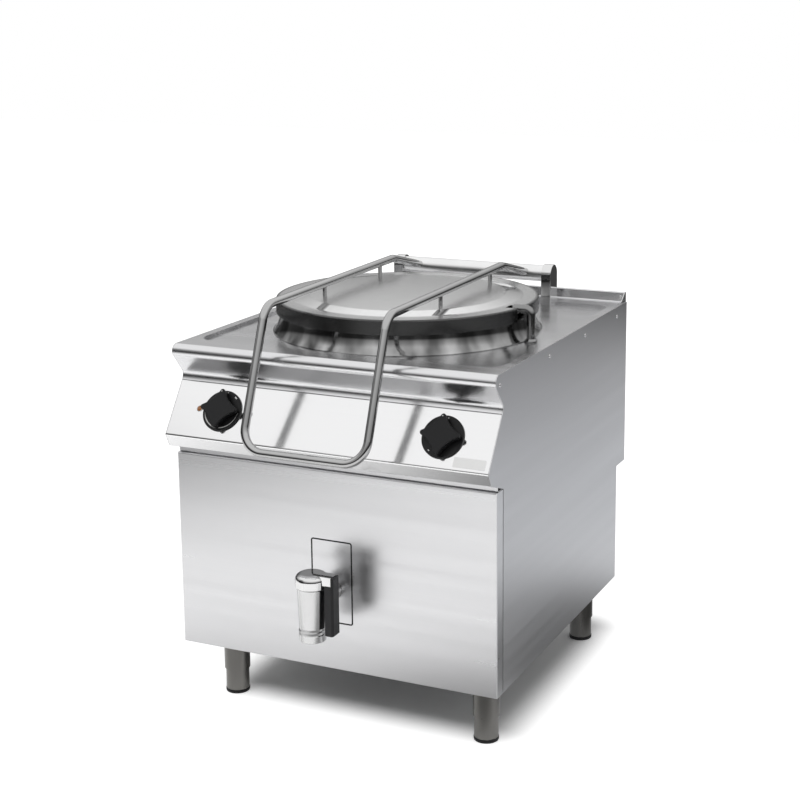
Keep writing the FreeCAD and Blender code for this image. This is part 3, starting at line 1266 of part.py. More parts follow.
def build():
    """Writes every piece of the kettle."""
    os.makedirs("parts", exist_ok=True)
    panel = side_panel()
    bracket = hinge_bracket()
    pieces = {
        "base_frame": base_frame(), "side_panel_right": panel, "side_panel_left": mirrored(panel),
        "rear_panel": rear_panel(), "front_rail": front_rail(), "worktop": worktop(),
        "control_fascia": control_fascia(), "front_panel": front_panel(),
        "drain_cover_plate": drain_cover_plate(), "drain_cover_trim": drain_cover_trim(),
        "vessel": vessel(), "vessel_bottom": vessel_bottom(), "vessel_collar": vessel_collar(),
        "chamber_shell": chamber_shell(), "chamber_cover": chamber_cover(),
        "insulation_blanket": insulation_blanket(), "burner": burner(), "pilot_burner": pilot_burner(),
        "gas_valve": control_valve(LEFT_KNOB_X), "water_valve": control_valve(RIGHT_KNOB_X),
        "gas_pipes": gas_pipes(), "water_pipes": water_pipes(), "gas_inlet_union": inlet_union(-INLET_X),
        "water_inlet_union": inlet_union(INLET_X),
        "flue_duct": flue_duct(), "flue_grille": flue_grille(), "filler_spout": filler_spout(),
        "spout_ferrule": spout_ferrule(), "drain_pipe": drain_pipe(), "tap_union_nut": tap_union_nut(),
        "tap_body": tap_body(), "tap_plug": tap_plug(), "tap_cap": tap_cap(), "tap_grip": tap_grip(),
        "lid_shell": lid_shell(), "lid_seal": lid_seal(), "lid_frame": lid_frame(),
        "lid_stay_pins": lid_stay_pins(), "hinge_tube": hinge_tube(), "hinge_bushes": hinge_bushes(),
        "hinge_axle": hinge_axle(), "hinge_brackets": Part.makeCompound([bracket, mirrored(bracket)]),
        "dials": Part.makeCompound([dial(LEFT_KNOB_X), dial(RIGHT_KNOB_X)]), "knob_left": knob(LEFT_KNOB_X),
        "knob_right": knob(RIGHT_KNOB_X), "gas_spindle": spindle(LEFT_KNOB_X),
        "water_spindle": spindle(RIGHT_KNOB_X),
        "pilot_lamp": pilot_lamp(), "igniter_body": igniter_body(), "igniter_button": igniter_button(),
        "foot_sleeves": foot_sleeves(), "panel_screws": panel_screws()}
    for name, (x, y) in foot_places().items():
        pieces["foot_stem_" + name] = foot_stem(x, y)
        pieces["foot_pad_" + name] = foot_pad(x, y)
    for name, shape in pieces.items():
        write(name, shape)


build()
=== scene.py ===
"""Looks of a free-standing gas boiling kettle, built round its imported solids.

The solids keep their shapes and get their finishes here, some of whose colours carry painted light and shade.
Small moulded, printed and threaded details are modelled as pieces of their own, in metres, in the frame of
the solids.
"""

import math

import bmesh
import bpy
from bpy.props import FloatProperty, FloatVectorProperty, PointerProperty
from mathutils import Matrix, Vector


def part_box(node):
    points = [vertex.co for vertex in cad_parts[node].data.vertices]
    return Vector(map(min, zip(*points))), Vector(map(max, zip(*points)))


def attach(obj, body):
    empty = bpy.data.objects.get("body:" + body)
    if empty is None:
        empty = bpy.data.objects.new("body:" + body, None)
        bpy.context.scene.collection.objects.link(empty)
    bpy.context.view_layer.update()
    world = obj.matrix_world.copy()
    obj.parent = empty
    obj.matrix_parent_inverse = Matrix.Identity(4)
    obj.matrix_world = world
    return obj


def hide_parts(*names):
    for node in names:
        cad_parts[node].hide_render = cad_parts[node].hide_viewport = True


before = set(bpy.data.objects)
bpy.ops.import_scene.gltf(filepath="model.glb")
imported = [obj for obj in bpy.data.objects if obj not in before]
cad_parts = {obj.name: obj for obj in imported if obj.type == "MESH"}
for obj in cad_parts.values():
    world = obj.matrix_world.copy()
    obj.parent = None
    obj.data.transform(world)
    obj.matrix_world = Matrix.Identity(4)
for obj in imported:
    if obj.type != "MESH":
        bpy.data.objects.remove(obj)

bl_info = {
    "name": "Boiling kettle",
    "version": (1, 0, 0),
    "blender": (4, 5, 0),
    "location": "View3D > Sidebar > Kettle",
    "description": "Finishes and small details of a gas boiling kettle",
    "category": "Object",
}

# Places on the solids, in metres. The row of controls lies in the leaning fascia.
CENTRE_Y = 0.371925
FASCIA_LEAN = math.radians(55.692)
CONTROL_Y = -0.006781 - CENTRE_Y
CONTROL_Z = 0.733962
DIAL_TOP = 0.005
LEFT_KNOB_X = -0.269
RIGHT_KNOB_X = 0.279
LAMP_X = -0.3295
LABEL_X = 0.352
LABEL_DROP = 0.05125
AXIS_Y = 0.036075
PLACES = ("front_left", "front_right", "rear_left", "rear_right")

# Dial marks: side, knob's place, turn, distance and size of the block, turn and distance of the dot.
DIAL_MARKS = (("left", LEFT_KNOB_X, 50.5, 0.043, (0.0034, 0.007), 85.0, 0.0435),
              ("right", RIGHT_KNOB_X, -125.5, 0.0416, (0.0026, 0.0042), 84.0, 0.0426))
BLOCK_CORNER = 0.0003
ARC_INNER = 0.0398
ARC_OUTER = 0.0425
ARC_THIN = 0.0002
ARC_GROWTH = 0.0025
ARC_START = -2.0
ARC_SWEEP = -167.0
ARC_END = 170.0
ARC_WIDEST = 125.0
ARC_TAIL = 30.0

# Section of the ring round the lamp: radius and height over the fascia.
RING = ((0.00605, 0.0), (0.0078, 0.0), (0.0078, 0.0006), (0.0073, 0.0013), (0.0066, 0.0016),
        (0.00605, 0.0013), (0.00605, 0.0))
PLATE_CORNER = 0.0015
PLATE_THICKNESS = 0.0003

# Packed screws: least length, reach that tells the head from the shank, and depth of the head.
SCREW_LENGTH = 0.005
SHANK_RADIUS = 0.003
HEAD_DEPTH = 0.0018
HEAD_DOME = 0.42
RECESS_DEPTH = 0.22
RECESS_HALF = 0.1
RECESS_REACH = 0.56

# Inlet unions: small chamfers, and the groove between the body and the lock nut.
CHAMFER = 0.0005
GROOVE = 0.0017
THREAD_STEPS = 32

# Colours that only one hidden piece has.
FIBRE = (0.6, 0.56, 0.42, 1.0)
IRON = (0.04, 0.04, 0.042, 1.0)
BRASS = (0.72, 0.5, 0.22, 1.0)
COPPER = (0.72, 0.36, 0.22, 1.0)
ALLOY = (0.55, 0.55, 0.57, 1.0)
SILICONE = (0.6, 0.58, 0.52, 1.0)
BUSH = (0.7, 0.68, 0.6, 1.0)
FOIL = (0.8, 0.8, 0.795, 1.0)
GROUND = (0.86, 0.86, 0.86, 1.0)
WHITE = (1.0, 1.0, 1.0, 1.0)

# Lid: span of radii its ramps cover, then roughness and tone over that span; the tone paints a slightly
# brighter ring round the crown as painted highlight and a dark skirt as painted shade.
LID_SPAN = (0.2, 0.36)
LID_GLOSS = ((0.0, 0.27), (0.21, 0.27), (0.24, 0.07), (0.47, 0.07), (0.5, 0.22), (1.0, 0.3))
LID_PAINTED_TONES = ((0.0, 0.94), (0.22, 0.94), (0.25, 1.0), (0.5, 1.0), (0.66, 0.85), (0.7, 0.13))

# Sockets of the colour mix node.
MIX_A = 6
MIX_B = 7
MIX_RESULT = 2

# Camera, worked out from the photo: place and directions of the picture.
CAMERA_PLACE = (1.632609, -3.010246 - CENTRE_Y, 1.666519)
CAMERA_RIGHT = Vector((0.90896126, 0.41682057, -0.00707438))
CAMERA_DOWN = Vector((0.07258999, -0.17496208, -0.9818956))
CAMERA_AHEAD = Vector((-0.41051203, 0.89199153, -0.18929075))

# Floor: rectangle under the kettle where the floor's glow is taken away, a painted shadow over the real one,
# in X and in Y.
PAINTED_SHADOW_BOX = ((-0.305, 0.305), (-0.185, 0.45))
FLOOR_HALF = 14.0

# Reflected room: height, tones over the height, and the dark spot with its growth and flatness.
ROOM_HEIGHT = 6.0
ROOM_TONES = ((0.0, 0.06), (1.2, 0.06), (1.6, 0.4), (2.4, 0.62), (3.5, 1.0), (6.0, 1.0))
DARK_SPOT = (-2.9, -3.0, 1.0)
DARK_REACH = (0.5, 1.9)
DARK_TONE = 0.25
DARK_WEIGHTS = (1.0, 1.0, 0.6)

# Mirrored patches of the floor: centre, reach, tone and lift.
PATCHES = (("Patch front left", (-2.3, -2.9), (1.9, 2.2), (0.2, 0.2, 0.2), 0.004),
           ("Patch front", (-0.2, -0.55), (0.9, 0.35), (0.72, 0.72, 0.72), 0.005),
           ("Patch corner", (0.45, -0.62), (0.75, 0.4), (0.28, 0.28, 0.28), 0.006),
           ("Patch right", (2.0, 1.6), (2.6, 3.4), (0.64, 0.655, 0.68), 0.0045),
           ("Patch far right", (2.3, 3.0), (1.35, 3.0), (0.3, 0.3, 0.31), 0.0055),
           ("Patch side", (0.6, 0.3), (0.35, 0.7), (0.12, 0.12, 0.12), 0.007),
           ("Patch left", (-2.2, 1.2), (1.5, 2.6), (0.6, 0.6, 0.6), 0.0065))
PATCH_CORE = 0.35

# Lamps: place and width. They aim at the middle of the kettle.
KEY = ((-1.6, -2.4, 2.8), 1.8)
FILL = ((2.4, -1.6, 2.2), 1.6)
AIM = Vector((0.0, 0.0, 0.5))


class KettleSizes(bpy.types.PropertyGroup):
    """Sizes of the modelled details."""
    mark_height: FloatProperty(name="Mark height", description="Thickness of the printed marks on the dials",
                               default=0.0002, unit="LENGTH")
    dot_radius: FloatProperty(name="Dot radius", description="Radius of the dot on each knob's upper lobe",
                              default=0.0014, unit="LENGTH")
    lobe_radius: FloatProperty(name="Lobe radius", description="Reach of a knob's lobes from its axis",
                               default=0.046, unit="LENGTH")
    tip_radius: FloatProperty(name="Tip radius", description="Round at the end of a knob's lobe",
                              default=0.0062, unit="LENGTH")
    waist_radius: FloatProperty(name="Waist radius", description="Distance of a knob's hollows from its axis",
                                default=0.0295, unit="LENGTH")
    knob_height: FloatProperty(name="Knob height", description="Height of a knob over its dial",
                               default=0.019, unit="LENGTH")
    knob_lift: FloatProperty(name="Knob lift", description="Height of a knob's underside over the panel",
                             default=0.0054, unit="LENGTH")
    knob_edge: FloatProperty(name="Knob edge", description="Round along a knob's upper edge",
                             default=0.0022, unit="LENGTH")
    knob_turn: FloatProperty(name="Knob turn", description="Direction of a knob's upper lobe at rest",
                             default=math.radians(91.0), unit="ROTATION")
    knob_draft: FloatProperty(name="Knob draft", description="Share of its width a knob keeps at its foot",
                              default=0.94, subtype="FACTOR")
    pad_radius: FloatProperty(name="Pad radius", description="Radius of the cup under a foot",
                              default=0.029, unit="LENGTH")
    pad_height: FloatProperty(name="Pad height", description="Height of the cup under a foot",
                              default=0.009, unit="LENGTH")
    screw_radius: FloatProperty(name="Screw radius", description="Radius of the screws' pan heads",
                                default=0.0045, unit="LENGTH")
    thread_radius: FloatProperty(name="Thread radius", description="Outer radius of the half-inch thread",
                                 default=0.01048, unit="LENGTH")
    thread_depth: FloatProperty(name="Thread depth", description="Depth of the half-inch thread",
                                default=0.00116, unit="LENGTH")
    thread_pitch: FloatProperty(name="Thread pitch", description="Pitch of the half-inch thread",
                                default=0.001814, unit="LENGTH")
    thread_length: FloatProperty(name="Thread length", description="Length of the free thread",
                                 default=0.022, unit="LENGTH")
    lock_nut: FloatProperty(name="Lock nut", description="Thickness of the hexagon lock nut",
                            default=0.006, unit="LENGTH")
    nut_radius: FloatProperty(name="Nut radius", description="Corner radius of the lock nut",
                              default=0.017, unit="LENGTH")
    label_width: FloatProperty(name="Label width", description="Width of the blank plate on the panel",
                               default=0.074, unit="LENGTH")
    label_height: FloatProperty(name="Label height", description="Height of the blank plate on the panel",
                                default=0.0225, unit="LENGTH")


class KettleColours(bpy.types.PropertyGroup):
    """Base colours of the finishes."""
    steel: FloatVectorProperty(name="Steel", description="Brushed stainless sheet", subtype="COLOR", size=4,
                               default=(0.76, 0.76, 0.77, 1.0), min=0.0, max=1.0)
    # Lighter than the steel as painted light, for the bright sky the leaning panel mirrors.
    fascia: FloatVectorProperty(name="Fascia", description="Finely brushed control panel", subtype="COLOR",
                                size=4, default=(0.88, 0.88, 0.885, 1.0), min=0.0, max=1.0)
    polished: FloatVectorProperty(name="Polished steel", description="Polished tube, collar and rim",
                                  subtype="COLOR", size=4, default=(0.8, 0.8, 0.8, 1.0), min=0.0, max=1.0)
    zinc: FloatVectorProperty(name="Zinc", description="Zinc-plated sheet", subtype="COLOR", size=4,
                              default=(0.5, 0.51, 0.52, 1.0), min=0.0, max=1.0)
    # The feet's steel is darkened as painted shade: polished steel there would mirror the white floor.
    tube: FloatVectorProperty(name="Foot tube", description="Darkened steel of the feet", subtype="COLOR",
                              size=4, default=(0.2, 0.195, 0.185, 1.0), min=0.0, max=1.0)
    plastic: FloatVectorProperty(name="Black plastic", description="Knobs, grip and pads", subtype="COLOR",
                                 size=4, default=(0.011, 0.011, 0.012, 1.0), min=0.0, max=1.0)
    mark: FloatVectorProperty(name="Marks", description="Printed marks on knobs and dials", subtype="COLOR",
                              size=4, default=(0.8, 0.8, 0.78, 1.0), min=0.0, max=1.0)
    amber: FloatVectorProperty(name="Lamp", description="Lens of the indicator lamp", subtype="COLOR", size=4,
                               default=(0.42, 0.15, 0.03, 1.0), min=0.0, max=1.0)


class KettleStage(bpy.types.PropertyGroup):
    """Camera and light of the studio."""
    lens: FloatProperty(name="Lens", description="Focal length for a 36 mm wide sensor", default=72.18,
                        unit="CAMERA")
    shift_x: FloatProperty(name="Shift X", description="Sideways shift of the camera", default=-0.0375)
    shift_y: FloatProperty(name="Shift Y", description="Upward shift of the camera", default=-0.125)
    ambient: FloatProperty(name="Ambient", description="Strength of the even light round the kettle",
                           default=0.45)
    glow: FloatProperty(name="Floor glow", description="Glow of the floor away from the kettle", default=0.85)
    mirrored: FloatProperty(name="Mirrored glow", description="Share of the floor's glow seen in reflections",
                            default=0.74)
    reach: FloatProperty(name="Shadow reach", description="Distance over which the floor's glow grows",
                         default=0.13, unit="LENGTH")
    room: FloatProperty(name="Room radius", description="Radius of the reflected room", default=4.2,
                        unit="LENGTH")
    key: FloatProperty(name="Key", description="Power of the large lamp at the front", default=20.0,
                       unit="POWER")
    fill: FloatProperty(name="Fill", description="Power of the lamp on the right", default=3.0, unit="POWER")


def settings(group):
    """Property group of the scene by its short name."""
    return getattr(bpy.context.scene, "kettle_" + group)


class Nodes:
    """Shader nodes of one material or world, placed and linked with few words."""

    def __init__(self, owner, shader, output="ShaderNodeOutputMaterial"):
        owner.use_nodes = True
        self.owner = owner
        self.tree = owner.node_tree
        self.tree.nodes.clear()
        self.output = self.add(output)
        self.shader = self.add(shader)
        self.link(self.shader, 0, self.output, "Surface")

    def add(self, kind, **values):
        """New node with the given attributes."""
        node = self.tree.nodes.new(kind)
        for key, value in values.items():
            setattr(node, key, value)
        return node

    def link(self, source, output, target, entry):
        """Link between two sockets."""
        self.tree.links.new(source.outputs[output], target.inputs[entry])

    def set(self, **values):
        """Values on the shader's own sockets, with spaces written as underscores."""
        for key, value in values.items():
            self.shader.inputs[key.replace("_", " ")].default_value = value

    def mapped(self, place=(0.0, 0.0, 0.0), stretch=(1.0, 1.0, 1.0)):
        """Object coordinates, moved and then stretched along their axes."""
        source = self.add("ShaderNodeTexCoord")
        mapping = self.add("ShaderNodeMapping")
        mapping.inputs["Location"].default_value = [-p * s for p, s in zip(place, stretch)]
        mapping.inputs["Scale"].default_value = stretch
        self.link(source, "Object", mapping, "Vector")
        return mapping

    def maths(self, operation, *values):
        """Sum on numbers and on (node, output) pairs."""
        maths = self.add("ShaderNodeMath", operation=operation)
        for entry, value in enumerate(values):
            if isinstance(value, tuple):
                self.link(*value, maths, entry)
            else:
                maths.inputs[entry].default_value = value
        return maths, "Value"

    def vector(self, operation, source, output, other=None):
        """Sum on a vector and a fixed one."""
        vector = self.add("ShaderNodeVectorMath", operation=operation)
        self.link(source, output, vector, 0)
        if other:
            vector.inputs[1].default_value = other
        return vector

    def seen(self, mirrored=1.0):
        """1 for what the camera or a transmitted ray sees, a share of it for what is mirrored, else 0."""
        path = self.add("ShaderNodeLightPath")
        glossy = self.maths("MULTIPLY", (path, "Is Glossy Ray"), mirrored)
        either = self.maths("MAXIMUM", (path, "Is Camera Ray"), glossy)
        return self.maths("MAXIMUM", either, (path, "Is Transmission Ray"))

    def mixed(self, share, output, first, second):
        """Shader that blends two others, put on the surface."""
        mix = self.add("ShaderNodeMixShader")
        self.link(share, output, mix, 0)
        self.link(first, 0, mix, 1)
        self.link(second, 0, mix, 2)
        self.link(mix, 0, self.output, "Surface")

    def noise(self, scale, detail=3.0, stretch=(1.0, 1.0, 1.0), roughness=0.5):
        """Noise on the object's own coordinates, stretched along its axes."""
        noise = self.add("ShaderNodeTexNoise")
        noise.inputs["Scale"].default_value = scale
        noise.inputs["Detail"].default_value = detail
        noise.inputs["Roughness"].default_value = roughness
        self.link(self.mapped(stretch=stretch), "Vector", noise, "Vector")
        return noise

    def length(self, place, stretch):
        """Distance from a place, with each axis weighed by its own factor."""
        return self.vector("LENGTH", self.mapped(place, stretch), "Vector")

    def span(self, source, output, start, end, low, high, kind="LINEAR"):
        """Value of a socket carried from one range to another."""
        span = self.add("ShaderNodeMapRange", interpolation_type=kind)
        span.inputs["From Min"].default_value = start
        span.inputs["From Max"].default_value = end
        span.inputs["To Min"].default_value = low
        span.inputs["To Max"].default_value = high
        self.link(source, output, span, "Value")
        return span

    def spread(self, noise, low, high, entry):
        """Noise spread over a range of values and linked to one of the shader's sockets."""
        self.link(self.span(noise, "Fac", 0.3, 0.7, low, high), "Result", self.shader, entry)

    def ramp(self, source, output, stops):
        """Grey ramp over the positions and tones given."""
        ramp = self.add("ShaderNodeValToRGB")
        elements = ramp.color_ramp.elements
        while len(elements) < len(stops):
            elements.new(0.5)
        for element, (position, tone) in zip(elements, stops):
            element.position = position
            element.color = (tone, tone, tone, 1.0)
        self.link(source, output, ramp, "Fac")
        return ramp

    def tint(self, noise, dark, light):
        """Colour that varies between two tones with the noise."""
        ramp = self.add("ShaderNodeValToRGB")
        ramp.color_ramp.elements[0].position = 0.3
        ramp.color_ramp.elements[1].position = 0.7
        ramp.color_ramp.elements[0].color = dark
        ramp.color_ramp.elements[1].color = light
        self.link(noise, "Fac", ramp, "Fac")
        self.link(ramp, "Color", self.shader, "Base Color")
        return ramp

    def bump(self, noise, distance, strength=1.0):
        """Relief from the noise, in metres."""
        bump = self.add("ShaderNodeBump")
        bump.inputs["Distance"].default_value = distance
        bump.inputs["Strength"].default_value = strength
        self.link(noise, "Fac", bump, "Height")
        self.link(bump, "Normal", self.shader, "Normal")


def finish(name):
    """Nodes of a new material with a principled shader."""
    return Nodes(bpy.data.materials.new(name), "ShaderNodeBsdfPrincipled")


def metal(name):
    """Nodes of a new metal."""
    made = finish(name)
    made.set(Metallic=1.0)
    return made


def scaled(colour, factor):
    """Colour multiplied by a factor, alpha kept."""
    return tuple(min(c * factor, 1.0) for c in colour[:3]) + (1.0,)


def brushed_steel(name, colour, roughness, grain, streaks, depth=0.000001, spread=0.03):
    """Stainless sheet with very fine brush lines, broad faint streaks and slightly uneven gloss."""
    made = metal(name)
    lines = made.noise(1.0, 4.0, grain, 0.6)
    made.tint(lines, scaled(colour, 0.98), scaled(colour, 1.012))
    made.spread(made.noise(1.0, 3.0, streaks), roughness - spread, roughness + spread, "Roughness")
    made.bump(lines, depth, 0.6)
    return made.owner


def polished_metal(name, colour, roughness, smear=0.03, grain=(1.0, 1.0, 1.0), scale=18.0, depth=0.0):
    """Polished metal with faint smears, which may run along one axis."""
    made = metal(name)
    smears = made.noise(scale, 5.0, grain)
    made.tint(smears, scaled(colour, 0.96), scaled(colour, 1.02))
    made.spread(smears, max(roughness - smear, 0.02), roughness + smear, "Roughness")
    if depth:
        made.bump(smears, depth)
    return made.owner


def painted_reflection_collar(name, colour):
    """Polished collar with upright streaks from dark to bright painted into its colour: painted reflections
    and highlights.
    """
    made = metal(name)
    streaks = made.noise(1.0, 2.0, (18.0, 18.0, 0.4))
    # Colour from near black to bright: painted reflections, not a tone the steel has.
    made.tint(streaks, scaled(colour, 0.08), scaled(colour, 0.75))
    made.spread(streaks, 0.06, 0.16, "Roughness")
    made.bump(made.noise(1.0, 4.0, (160.0, 160.0, 6.0)), 0.000003)
    return made.owner


def moulded(name, colour, roughness, grain=0.00002, scale=1400.0, gloss=0.28):
    """Moulded plastic or rubber with a fine grain."""
    made = finish(name)
    made.set(Specular_IOR_Level=gloss)
    grains = made.noise(scale, 2.0)
    made.tint(grains, scaled(colour, 0.85), scaled(colour, 1.15))
    made.spread(grains, roughness - 0.04, roughness + 0.04, "Roughness")
    made.bump(grains, grain)
    return made.owner


def lid_finish(name, colour):
    """Satin lid with a polished ring round its crown, brightened a little as painted highlight, and a skirt
    darkened as painted shade.
    """
    made = metal(name)
    radius = made.length((0.0, AXIS_Y, 0.0), (1.0, 1.0, 0.0))
    share = made.span(radius, "Value", *LID_SPAN, 0.0, 1.0)
    made.link(made.ramp(share, "Result", LID_GLOSS), "Color", made.shader, "Roughness")
    turned = made.noise(1.0, 3.0, (70.0, 70.0, 300.0))
    ramp = made.tint(turned, scaled(colour, 0.97), scaled(colour, 1.02))
    # Tones over the radius: painted highlight on the crown's ring, painted shade on the skirt.
    tones = made.ramp(share, "Result", LID_PAINTED_TONES)
    mix = made.add("ShaderNodeMix", data_type="RGBA", blend_type="MULTIPLY")
    mix.inputs["Factor"].default_value = 1.0
    made.link(ramp, "Color", mix, MIX_A)
    made.link(tones, "Color", mix, MIX_B)
    made.link(mix, MIX_RESULT, made.shader, "Base Color")
    made.bump(turned, 0.000004)
    return made.owner


def dress(material, *nodes):
    """Gives the solids a material on all their slots."""
    for node in nodes:
        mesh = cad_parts[node].data
        if not mesh.materials:
            mesh.materials.append(material)
        for index in range(len(mesh.materials)):
            mesh.materials[index] = material


def placed(name, data):
    """New object in the scene."""
    item = bpy.data.objects.new(name, data)
    bpy.context.scene.collection.objects.link(item)
    return item


def meshed(name, shape):
    """Mesh from a finished bmesh, which is freed."""
    mesh = bpy.data.meshes.new(name)
    shape.to_mesh(mesh)
    shape.free()
    return mesh


def joined(shape, other):
    """Adds another bmesh to a shape and frees it."""
    mesh = meshed("Part", other)
    shape.from_mesh(mesh)
    bpy.data.meshes.remove(mesh)


def new_piece(name, shape, material, body, smooth=True):
    """Object from a finished bmesh, riding on a body."""
    bmesh.ops.remove_doubles(shape, verts=shape.verts, dist=1e-6)
    bmesh.ops.recalc_face_normals(shape, faces=shape.faces)
    mesh = meshed(name, shape)
    mesh.materials.append(material)
    for face in mesh.polygons:
        face.use_smooth = smooth
    piece = placed(name, mesh)
    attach(piece, body)
    return piece


def on_fascia(x, lift=0.0):
    """Matrix that stands a shape drawn on the XY plane square on the fascia's control row."""
    normal = Vector((0.0, -math.sin(FASCIA_LEAN), math.cos(FASCIA_LEAN)))
    place = Vector((x, CONTROL_Y, CONTROL_Z)) + normal * lift
    return Matrix.Translation(place) @ Matrix.Rotation(FASCIA_LEAN, 4, "X")


def around(angle, radius):
    """Point at an angle and a distance from the origin, on the XY plane."""
    return Vector((radius * math.cos(angle), radius * math.sin(angle), 0.0))


def lathe(shape, points, steps=96):
    """Spins a profile of (radius, height) points round the Z axis."""
    corners = [shape.verts.new((radius, 0.0, height)) for radius, height in points]
    edges = [shape.edges.new(pair) for pair in zip(corners, corners[1:])]
    bmesh.ops.spin(shape, geom=corners + edges, axis=(0.0, 0.0, 1.0), cent=(0.0, 0.0, 0.0),
                   angle=math.tau, steps=steps, use_merge=True)
    return shape


def raised(shape, faces, height):
    """Stands faces up along Z by a height and closes their sides."""
    made = bmesh.ops.extrude_face_region(shape, geom=faces)
    top = [item for item in made["geom"] if isinstance(item, bmesh.types.BMVert)]
    bmesh.ops.translate(shape, vec=(0.0, 0.0, height), verts=top)
    return [item for item in made["geom"] if isinstance(item, bmesh.types.BMFace)]


def rounded_plate(shape, width, depth, corner, height):
    """Flat plate with rounded corners, standing on the XY plane."""
    bmesh.ops.create_grid(shape, x_segments=1, y_segments=1, size=0.5)
    bmesh.ops.scale(shape, vec=(width, depth, 1.0), verts=shape.verts)
    bmesh.ops.bevel(shape, geom=list(shape.verts), offset=corner, segments=6, profile=0.5, affect="VERTICES",
                    material=-1)
    raised(shape, list(shape.faces), height)


class KETTLE_OT_sheets(bpy.types.Operator):
    """Brushed finishes of the cabinet's sheets"""
    bl_idname = "kettle.sheets"
    bl_label = "Cabinet sheets"

    def execute(self, context):
        colours = settings("colours")
        across = ((2.0, 3000.0, 3000.0), (0.7, 30.0, 34.0))
        along = ((3000.0, 2.0, 3000.0), (30.0, 0.7, 34.0))
        front = brushed_steel("Brushed front", colours.steel, 0.3, *across)
        # The side sheets take a slightly darker copy of the steel: painted shade on the kettle's shaded side.
        side = brushed_steel("Brushed side", scaled(colours.steel, 0.97), 0.34, *along)
        # The fascia takes its own lighter copy of the steel: painted light.
        fascia = brushed_steel("Brushed fascia", colours.fascia, 0.13, *across, 0.0000004, 0.02)
        worktop = brushed_steel("Satin worktop", colours.steel, 0.25, *across, 0.0000008, 0.03)
        zinc = polished_metal("Zinc plating", colours.zinc, 0.42, 0.08)
        dress(front, "front_panel", "drain_cover_plate", "front_rail", "flue_grille")
        dress(side, "side_panel_left", "side_panel_right")
        dress(fascia, "control_fascia")
        dress(worktop, "worktop")
        dress(zinc, "rear_panel", "base_frame", "chamber_shell", "chamber_cover", "flue_duct")
        dress(moulded("Rubber edging", colours.plastic, 0.6), "drain_cover_trim")
        return {"FINISHED"}


class KETTLE_OT_vessel(bpy.types.Operator):
    """Finishes of the vessel, its collar and the heating chamber"""
    bl_idname = "kettle.vessel"
    bl_label = "Vessel and chamber"

    def execute(self, context):
        colours = settings("colours")
        upright = (40.0, 40.0, 1.5)
        dress(polished_metal("Satin pot", colours.steel, 0.25, 0.04, upright, 1.0), "vessel", "vessel_bottom")
        dress(painted_reflection_collar("Polished collar", colours.polished), "vessel_collar")
        dress(moulded("Mineral fibre", FIBRE, 0.9, 0.001, 160.0), "insulation_blanket")
        dress(moulded("Cast iron", IRON, 0.6, 0.0002, 300.0), "burner")
        brass = polished_metal("Brass", BRASS, 0.25)
        dress(brass, "pilot_burner", "water_valve", "gas_inlet_union", "water_inlet_union", "tap_plug",
              "gas_spindle", "water_spindle")
        dress(polished_metal("Copper pipe", COPPER, 0.25), "gas_pipes", "water_pipes")
        dress(polished_metal("Die-cast alloy", ALLOY, 0.4), "gas_valve")
        return {"FINISHED"}


class KETTLE_OT_lid(bpy.types.Operator):
    """Finishes of the lid, its frame and its hinge"""
    bl_idname = "kettle.lid"
    bl_label = "Lid and frame"

    def execute(self, context):
        colours = settings("colours")
        # The tubes are darkened below polished steel as painted shade for the dark surroundings they mirror;
        # the filler spout and its ferrule most of all.
        tube = polished_metal("Polished tube", scaled(colours.polished, 0.6), 0.08, 0.03)
        dress(tube, "lid_frame", "lid_stay_pins", "drain_pipe")
        dress(polished_metal("Tube darkened as painted shade", scaled(colours.polished, 0.35), 0.08, 0.03), "filler_spout",
              "spout_ferrule")
        dress(polished_metal("Satin tube", scaled(colours.polished, 1.1), 0.3, 0.03), "hinge_tube")
        dress(polished_metal("Bright chrome", scaled(colours.polished, 0.95), 0.05, 0.02), "hinge_brackets",
              "tap_cap", "tap_union_nut", "hinge_axle")
        dress(lid_finish("Satin lid", colours.polished), "lid_shell")
        dress(moulded("Silicone", SILICONE, 0.5), "lid_seal")
        dress(moulded("Bush plastic", BUSH, 0.4), "hinge_bushes")
        return {"FINISHED"}


class KETTLE_OT_tap(bpy.types.Operator):
    """Finishes of the draw-off tap"""
    bl_idname = "kettle.tap"
    bl_label = "Draw-off tap"

    def execute(self, context):
        colours = settings("colours")
        dress(polished_metal("Satin chrome", scaled(colours.polished, 0.85), 0.2), "tap_body")
        dress(moulded("Black grip", scaled(colours.plastic, 1.6), 0.45, gloss=0.4), "tap_grip")
        return {"FINISHED"}


def knob_outline(shape, sizes):
    """Closed outline of a knob: four lobes with round tips, joined by hollow arcs."""
    quarter = math.pi / 2
    tips = sizes.lobe_radius - sizes.tip_radius
    waist = sizes.waist_radius
    inner = waist - sizes.tip_radius
    reach = (tips ** 2 - inner ** 2) / (2 * (tips * math.cos(quarter / 2) - inner))
    sweep = math.atan2(reach * math.sin(quarter / 2), reach * math.cos(quarter / 2) - tips)
    points = []
    for lobe in range(4):
        angle = sizes.knob_turn + lobe * quarter
        centre = around(angle, tips)
        points += [centre + around(angle + sweep * step / 9, sizes.tip_radius) for step in range(-9, 10)]
        last = points[-1]
        middle = around(angle + quarter / 2, 1.0)
        hollow = middle * reach
        start = last - hollow
        half = start.angle(-middle)
        turn = 1.0 if start.cross(-middle).z > 0 else -1.0
        for step in range(1, 14):
            points.append(hollow + Matrix.Rotation(turn * half * step / 7, 3, "Z") @ start)
    return shape.faces.new([shape.verts.new(point) for point in points])


